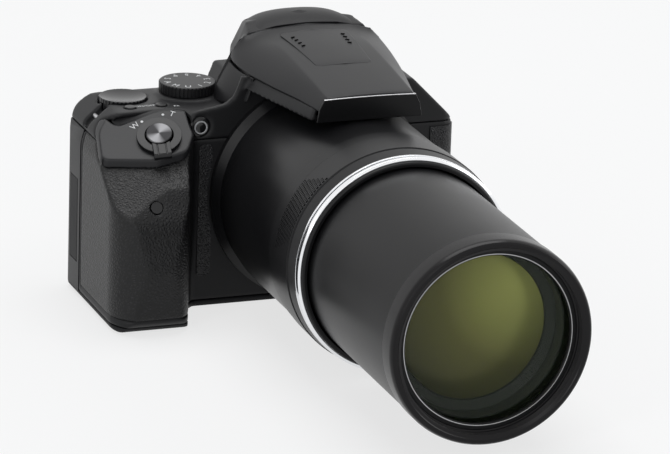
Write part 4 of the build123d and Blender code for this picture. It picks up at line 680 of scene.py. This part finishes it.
housing_satin = grained(
    "housing_satin", (0.0075, 0.0075, 0.0082), gloss=(0.28, 0.34), pitch=4200, depth=0.02, specular=0.2
)
ring_satin = grained(
    "ring_satin", (0.009, 0.009, 0.0098), gloss=(0.3, 0.38), pitch=4200, depth=0.03, specular=0.2
)
bright_chrome = grained(
    "bright_chrome", (0.86, 0.87, 0.89), gloss=(0.06, 0.1), pitch=6000, depth=0.005, specular=0.5, metal=1.0
)
groove_painted_shade = grained(
    "groove_painted_shade", (0.004, 0.004, 0.0045), gloss=(0.5, 0.6), pitch=2600, depth=0.0, specular=0.05
)
moulded("barrel_housing", housing_satin, bevel=0.0)
round_piece(
    "fixed_ring",
    [(-85.1, 38.9), (-85.1, 40.7), (-91.2, 40.75), (-91.4, 40.5), (-91.7, 40.5), (-91.9, 41.1), (-105.2, 41.2),
     (-105.4, 40.7), (-105.9, 40.7), (-106.1, 40.9), (-111.6, 40.35), (-111.6, 39.4), (-112.5, 39.4), (-112.5, 38.9)],
    ring_satin,
)
round_piece(
    "chrome_ring",
    [(-112.6, 38.9), (-112.6, 39.5), (-111.7, 39.5), (-111.7, 40.4), (-112.5, 40.4), (-112.6, 39.7), (-113.5, 39.7),
     (-113.6, 40.3), (-114.9, 40.3), (-115.4, 39.6), (-115.4, 39.2), (-114.9, 39.2), (-114.9, 37.7), (-111.1, 37.7),
     (-111.1, 38.9)],
    bright_chrome, bevel=0.00006,
)
# Painted shade: a matte near-black ring laid in the chrome ring's groove.
groove_outline = [(-112.65, 39.75), (-112.65, 40.0), (-113.45, 40.0), (-113.45, 39.75)]
finished(turned(groove_outline), "chrome_groove", groove_painted_shade, "camera_body")
round_piece(
    "barrel_lip",
    [(-115.0, 37.6), (-115.0, 39.1), (-115.5, 39.1), (-116.1, 38.9), (-116.4, 38.4), (-116.4, 37.25),
     (-100.4, 37.25), (-100.4, 37.6)],
    housing_satin,
)
pad_start, pad_radius = -92.7, 0.0412
stud_rows, row_pitch = 11, 1.12
stud_columns, stud_step = 18, 2.1
stud_width, stud_length, stud_height = 0.0010, 0.00075, 0.00055
pad_mesh = bmesh.new()
for row in range(stud_rows):
    for column in range(stud_columns):
        angle = radians(48.5 - 0.8 * row + stud_step * column + (stud_step / 2 if row % 2 else 0))
        height = stud_height * min(1.0, (stud_columns + 1 - column) / 9)
        stud = bmesh.ops.create_cube(pad_mesh, size=1)["verts"]
        bmesh.ops.scale(pad_mesh, vec=(stud_width, stud_length, height), verts=stud)
        bmesh.ops.translate(pad_mesh, vec=(0, (pad_start - row_pitch * row) / 1000, pad_radius), verts=stud)
        bmesh.ops.rotate(pad_mesh, cent=(0, 0, 0), matrix=Matrix.Rotation(-angle, 3, "Y"), verts=stud)
        bmesh.ops.translate(pad_mesh, vec=(0, 0, lens_axis[1]), verts=stud)
finished(pad_mesh, "grip_studs", ring_satin, "camera_body")

# The zoom tube and the front ring: a thin satin black tube, and a ring with a rounded outer
# edge and the filter thread. A retaining ring with a bright bead holds the front glass.
tube_satin = grained(
    "tube_satin", (0.0055, 0.0055, 0.006), gloss=(0.3, 0.36), pitch=5200, depth=0.012, specular=0.16
)
ring_edge = grained(
    "ring_edge", (0.0055, 0.0048, 0.0056), gloss=(0.2, 0.26), pitch=5200, depth=0.01, specular=0.2
)
baffle_black = grained(
    "baffle_black", (0.006, 0.006, 0.0065), gloss=(0.5, 0.6), pitch=2600, depth=0.1, specular=0.2
)
round_piece(
    "zoom_barrel",
    [(-191.0, 35.2), (-191.0, 36.6), (-99.4, 36.6), (-99.4, 37.45), (-95.4, 37.45), (-95.4, 35.2)],
    tube_satin,
)
thread_turns = 5
thread_pitch = 0.65
thread_mouth = -199.1
crest, root = 33.1, 33.45
thread_outline = []
for i in range(thread_turns):
    y = thread_mouth + thread_pitch * i
    thread_outline += [(y, crest), (y + 0.18, crest), (y + 0.32, root), (y + 0.5, root)]
round_piece(
    "front_ring",
    [(-199.3, 33.5), (-199.7, 34.3), (-200.0, 34.6), (-200.0, 35.7), (-199.6, 36.3), (-198.8, 36.75), (-197.6, 37.0),
     (-191.2, 37.0), (-191.05, 36.8), (-191.05, 35.15), (-186.0, 35.15), (-186.0, 31.0), (-188.4, 31.0),
     (-188.4, 32.6), (-195.5, 32.6), (-195.7, 33.45)] + thread_outline[::-1],
    ring_edge, bevel=0.00006,
)
round_piece(
    "retaining_ring",
    [(-192.85, 30.9), (-192.85, 32.5), (-195.5, 32.5), (-195.5, 30.7), (-195.0, 30.2)],
    baffle_black,
)
bead_outline = [(-195.62, 30.72), (-195.62, 31.0), (-195.52, 31.0), (-195.52, 30.7)]
bead = finished(turned(bead_outline), "retaining_ring_bead", silver_line, "zoom_tube", keep=18)

# The front lenses: a clear domed front glass, and behind it a smaller lens whose olive coating
# carries a painted highlight towards the upper right. A grey wall painted as sheen and a dark green
# cell painted as shade hold it in the front ring.


def domed(front, sag, radius, back):
    """Outline of a lens with a domed front, from the axis out and back to the axis."""
    steps = 12
    crown = [(front + sag * (i / steps) ** 2, radius * i / steps) for i in range(steps + 1)]
    return crown + [(back, radius), (back, 0.0)]


glass, glass_tree, glass_face = shaded("front_glass")
glass_face.inputs["Base Color"].default_value = (0.02, 0.03, 0.012, 1)
glass_face.inputs["Roughness"].default_value = 0.03
glass_face.inputs["Specular IOR Level"].default_value = 0.5
glass_place = glass_tree.nodes.new("ShaderNodeTexCoord")
glass_haze = glass_tree.nodes.new("ShaderNodeTexNoise")
glass_clear = glass_tree.nodes.new("ShaderNodeMapRange")
glass_haze.inputs["Scale"].default_value = 30
glass_clear.inputs["To Min"].default_value = 0.16
glass_clear.inputs["To Max"].default_value = 0.20
glass_tree.links.new(glass_place.outputs["Object"], glass_haze.inputs["Vector"])
glass_tree.links.new(glass_haze.outputs[0], glass_clear.inputs["Value"])
glass_tree.links.new(glass_clear.outputs[0], glass_face.inputs["Alpha"])
front_outline = domed(front=-195.0, sag=2.2, radius=32.4, back=-188.45)
stand_for(finished(turned(front_outline, steps=128), "front_element_skin", glass, "zoom_tube"), "front_element")

# Painted highlight: the coating's olive colour is bright round a point to the upper right and fades to painted shade
# towards its rim.
painted_highlight_centre = Vector((0.020, -0.1825, 0.060))
painted_highlight_reach = 0.058
coating, coat_tree, coat_face = shaded("olive_coating_painted_highlight")
coat_face.inputs["Metallic"].default_value = 0.25
coat_face.inputs["Roughness"].default_value = 0.25
coat_face.inputs["Specular IOR Level"].default_value = 0.3
coat_place = coat_tree.nodes.new("ShaderNodeTexCoord")
coat_shift = coat_tree.nodes.new("ShaderNodeMapping")
coat_highlight_mask = coat_tree.nodes.new("ShaderNodeTexGradient")
coat_tone = coat_tree.nodes.new("ShaderNodeValToRGB")
coat_highlight_mask.gradient_type = "SPHERICAL"
coat_shift.inputs["Location"].default_value = -painted_highlight_centre / painted_highlight_reach
coat_shift.inputs["Scale"].default_value = (1 / painted_highlight_reach, 1 / painted_highlight_reach, 1 / painted_highlight_reach)
coat_painted_shade, coat_painted_highlight = coat_tone.color_ramp.elements
coat_painted_shade.position = 0.0
coat_painted_shade.color = (0.040, 0.040, 0.010, 1)
coat_painted_highlight.position = 0.9
coat_painted_highlight.color = (0.62, 0.66, 0.17, 1)
coat_middle = coat_tone.color_ramp.elements.new(0.42)
coat_middle.color = (0.17, 0.165, 0.035, 1)
for source, target in (
    (coat_place.outputs["Object"], coat_shift.inputs["Vector"]),
    (coat_shift.outputs[0], coat_highlight_mask.inputs["Vector"]),
    (coat_highlight_mask.outputs["Fac"], coat_tone.inputs["Fac"]),
    (coat_tone.outputs["Color"], coat_face.inputs["Base Color"]),
):
    coat_tree.links.new(source, target)
inner_outline = domed(front=-183.6, sag=3.0, radius=26.5, back=-175.0)
inner_lens = finished(turned(inner_outline, steps=128), "coated_inner_lens", coating, "zoom_tube")

# A lit and a shaded copy of one black: the wall is painted light grey as a painted sheen, the cell near-black green
# as painted shade.
painted_sheen_wall = grained("cell_wall_painted_sheen", (0.045, 0.05, 0.048), gloss=(0.3, 0.4), pitch=2600, depth=0.05, specular=0.4)
green_cell_painted_shade = grained("green_cell_painted_shade", (0.006, 0.011, 0.007), gloss=(0.35, 0.45), pitch=2600, depth=0.05, specular=0.2)
wall_outline = [(-188.3, 30.95), (-188.3, 30.4), (-183.2, 30.0), (-183.2, 30.95)]
cell_outline = [(-183.1, 30.95), (-183.1, 29.9), (-181.2, 26.9), (-174.0, 26.6), (-174.0, 30.95)]
finished(turned(wall_outline), "inner_lens_wall", painted_sheen_wall, "zoom_tube", keep=18)
finished(turned(cell_outline), "inner_lens_cell", green_cell_painted_shade, "zoom_tube", keep=18)

# Inside the body: the zoom drive with its cam tube, followers, pinion and motor, the moving
# and the fixed lens group, the sensor, board, battery and chassis. Each keeps its CAD shape.
metals = {
    name: grained(name, colour, gloss, pitch, depth, specular=0.5, metal=1.0)
    for name, colour, gloss, pitch, depth in (
        ("satin_alloy", (0.4, 0.4, 0.42), (0.35, 0.45), 2600, 0.05),
        ("cast_alloy", (0.45, 0.45, 0.46), (0.5, 0.62), 1500, 0.2),
        ("cut_brass", (0.65, 0.48, 0.2), (0.25, 0.35), 4200, 0.03),
        ("plated_steel", (0.5, 0.5, 0.51), (0.25, 0.35), 4200, 0.03),
    )
}
board_green = grained("board_green", (0.02, 0.12, 0.05), gloss=(0.35, 0.45), pitch=1800, depth=0.05, specular=0.5)
sensor_glass = grained(
    "sensor_glass", (0.05, 0.06, 0.08), gloss=(0.08, 0.12), pitch=3200, depth=0.01, specular=0.6
)
group_glass = grained("group_glass", (0.08, 0.12, 0.1), gloss=(0.05, 0.1), pitch=3200, depth=0.0, specular=0.6)
battery_grey = grained(
    "battery_grey", (0.06, 0.06, 0.065), gloss=(0.45, 0.55), pitch=2200, depth=0.06, specular=0.4
)
for material, inner_nodes in (
    (baffle_black, ("guide_tube", "evf_module")),
    (metals["satin_alloy"], ("cam_tube",)),
    (metals["cast_alloy"], ("chassis",)),
    (metals["cut_brass"], ("followers", "drive_gear")),
    (metals["plated_steel"], ("zoom_motor", "screws", "tripod_socket", "strap_bars")),
    (board_green, ("main_board",)),
    (sensor_glass, ("image_sensor",)),
    (group_glass, ("zoom_group", "rear_group")),
    (battery_grey, ("battery",)),
):
    for node in inner_nodes:
        nodes[node].data.materials.clear()
        nodes[node].data.materials.append(material)

# The lamp beside the lens and the receiver window in the grip: smoked plastic windows.
# The lamp has a silvered reflector inside a glossy black ring.
smoked = grained("smoked_window", (0.008, 0.008, 0.009), gloss=(0.08, 0.12), pitch=2600, depth=0.0, specular=0.4)
lamp_silver = grained(
    "lamp_silver", (0.6, 0.6, 0.61), gloss=(0.28, 0.34), pitch=2600, depth=0.02, specular=0.5, metal=0.3
)
lamp_ring = grained("lamp_ring", (0.008, 0.008, 0.009), gloss=(0.2, 0.26), pitch=4200, depth=0.0, specular=0.35)
moulded("front_windows", smoked, bevel=0.0001)
lamp_axis = (-0.046, 0.0696)
reflector_outline = [(-22.8, 0.0), (-22.7, 1.0), (-22.3, 1.9), (-22.5, 2.05), (-22.5, 2.5), (-21.5, 2.6),
                     (-21.0, 2.6), (-21.0, 0.0)]
rim_outline = [(-21.0, 2.6), (-22.15, 2.7), (-22.25, 2.9), (-22.1, 3.4), (-21.6, 3.9), (-21.0, 3.9)]
for name, outline, material in (
    ("lamp_reflector", reflector_outline, lamp_silver), ("lamp_rim", rim_outline, lamp_ring),
):
    finished(turned(outline, steps=48, axis=lamp_axis), name, material, "camera_body")

# The back: a soft rubber eyecup round the eyepiece glass, the screen with its glass in a
# moulded frame, and the selector ring, the rocker and the push buttons in smooth black.
cup_rubber = grained("cup_rubber", (0.011, 0.011, 0.012), gloss=(0.55, 0.65), pitch=1800, depth=0.12, specular=0.2)
eye_glass = grained("eye_glass", (0.01, 0.01, 0.013), gloss=(0.04, 0.07), pitch=3200, depth=0.0, specular=0.6)
screen_gloss = grained(
    "screen_gloss", (0.005, 0.005, 0.006), gloss=(0.06, 0.09), pitch=4200, depth=0.0, specular=0.5
)
soft_edged("eyecup", cup_rubber, grain_size=0.0005, rounds=6)
moulded("eyepiece_glass", eye_glass, bevel=0.0001)
moulded("screen", casing_black, bevel=0.0)
moulded("screen_glass", screen_gloss, bevel=0.0001)
for node in (
    "movie_button", "display_button", "playback_button", "menu_button", "delete_button", "ok_button",
    "monitor_button", "flash_button", "side_rocker", "snapback_button", "selector_ring", "dioptre_dial",
):
    moulded(node, control_black)

# The base and the socket cover: a hinged battery door with its latch, and a soft rubber flap.
# Door and flap are moulded to lie flush, with a fine bevel along their edges.
moulded("battery_door", casing_dull, bevel=0.0002)
moulded("door_latch", control_black, bevel=0.0001)
moulded("connector_cover", cup_rubber, bevel=0.0002)
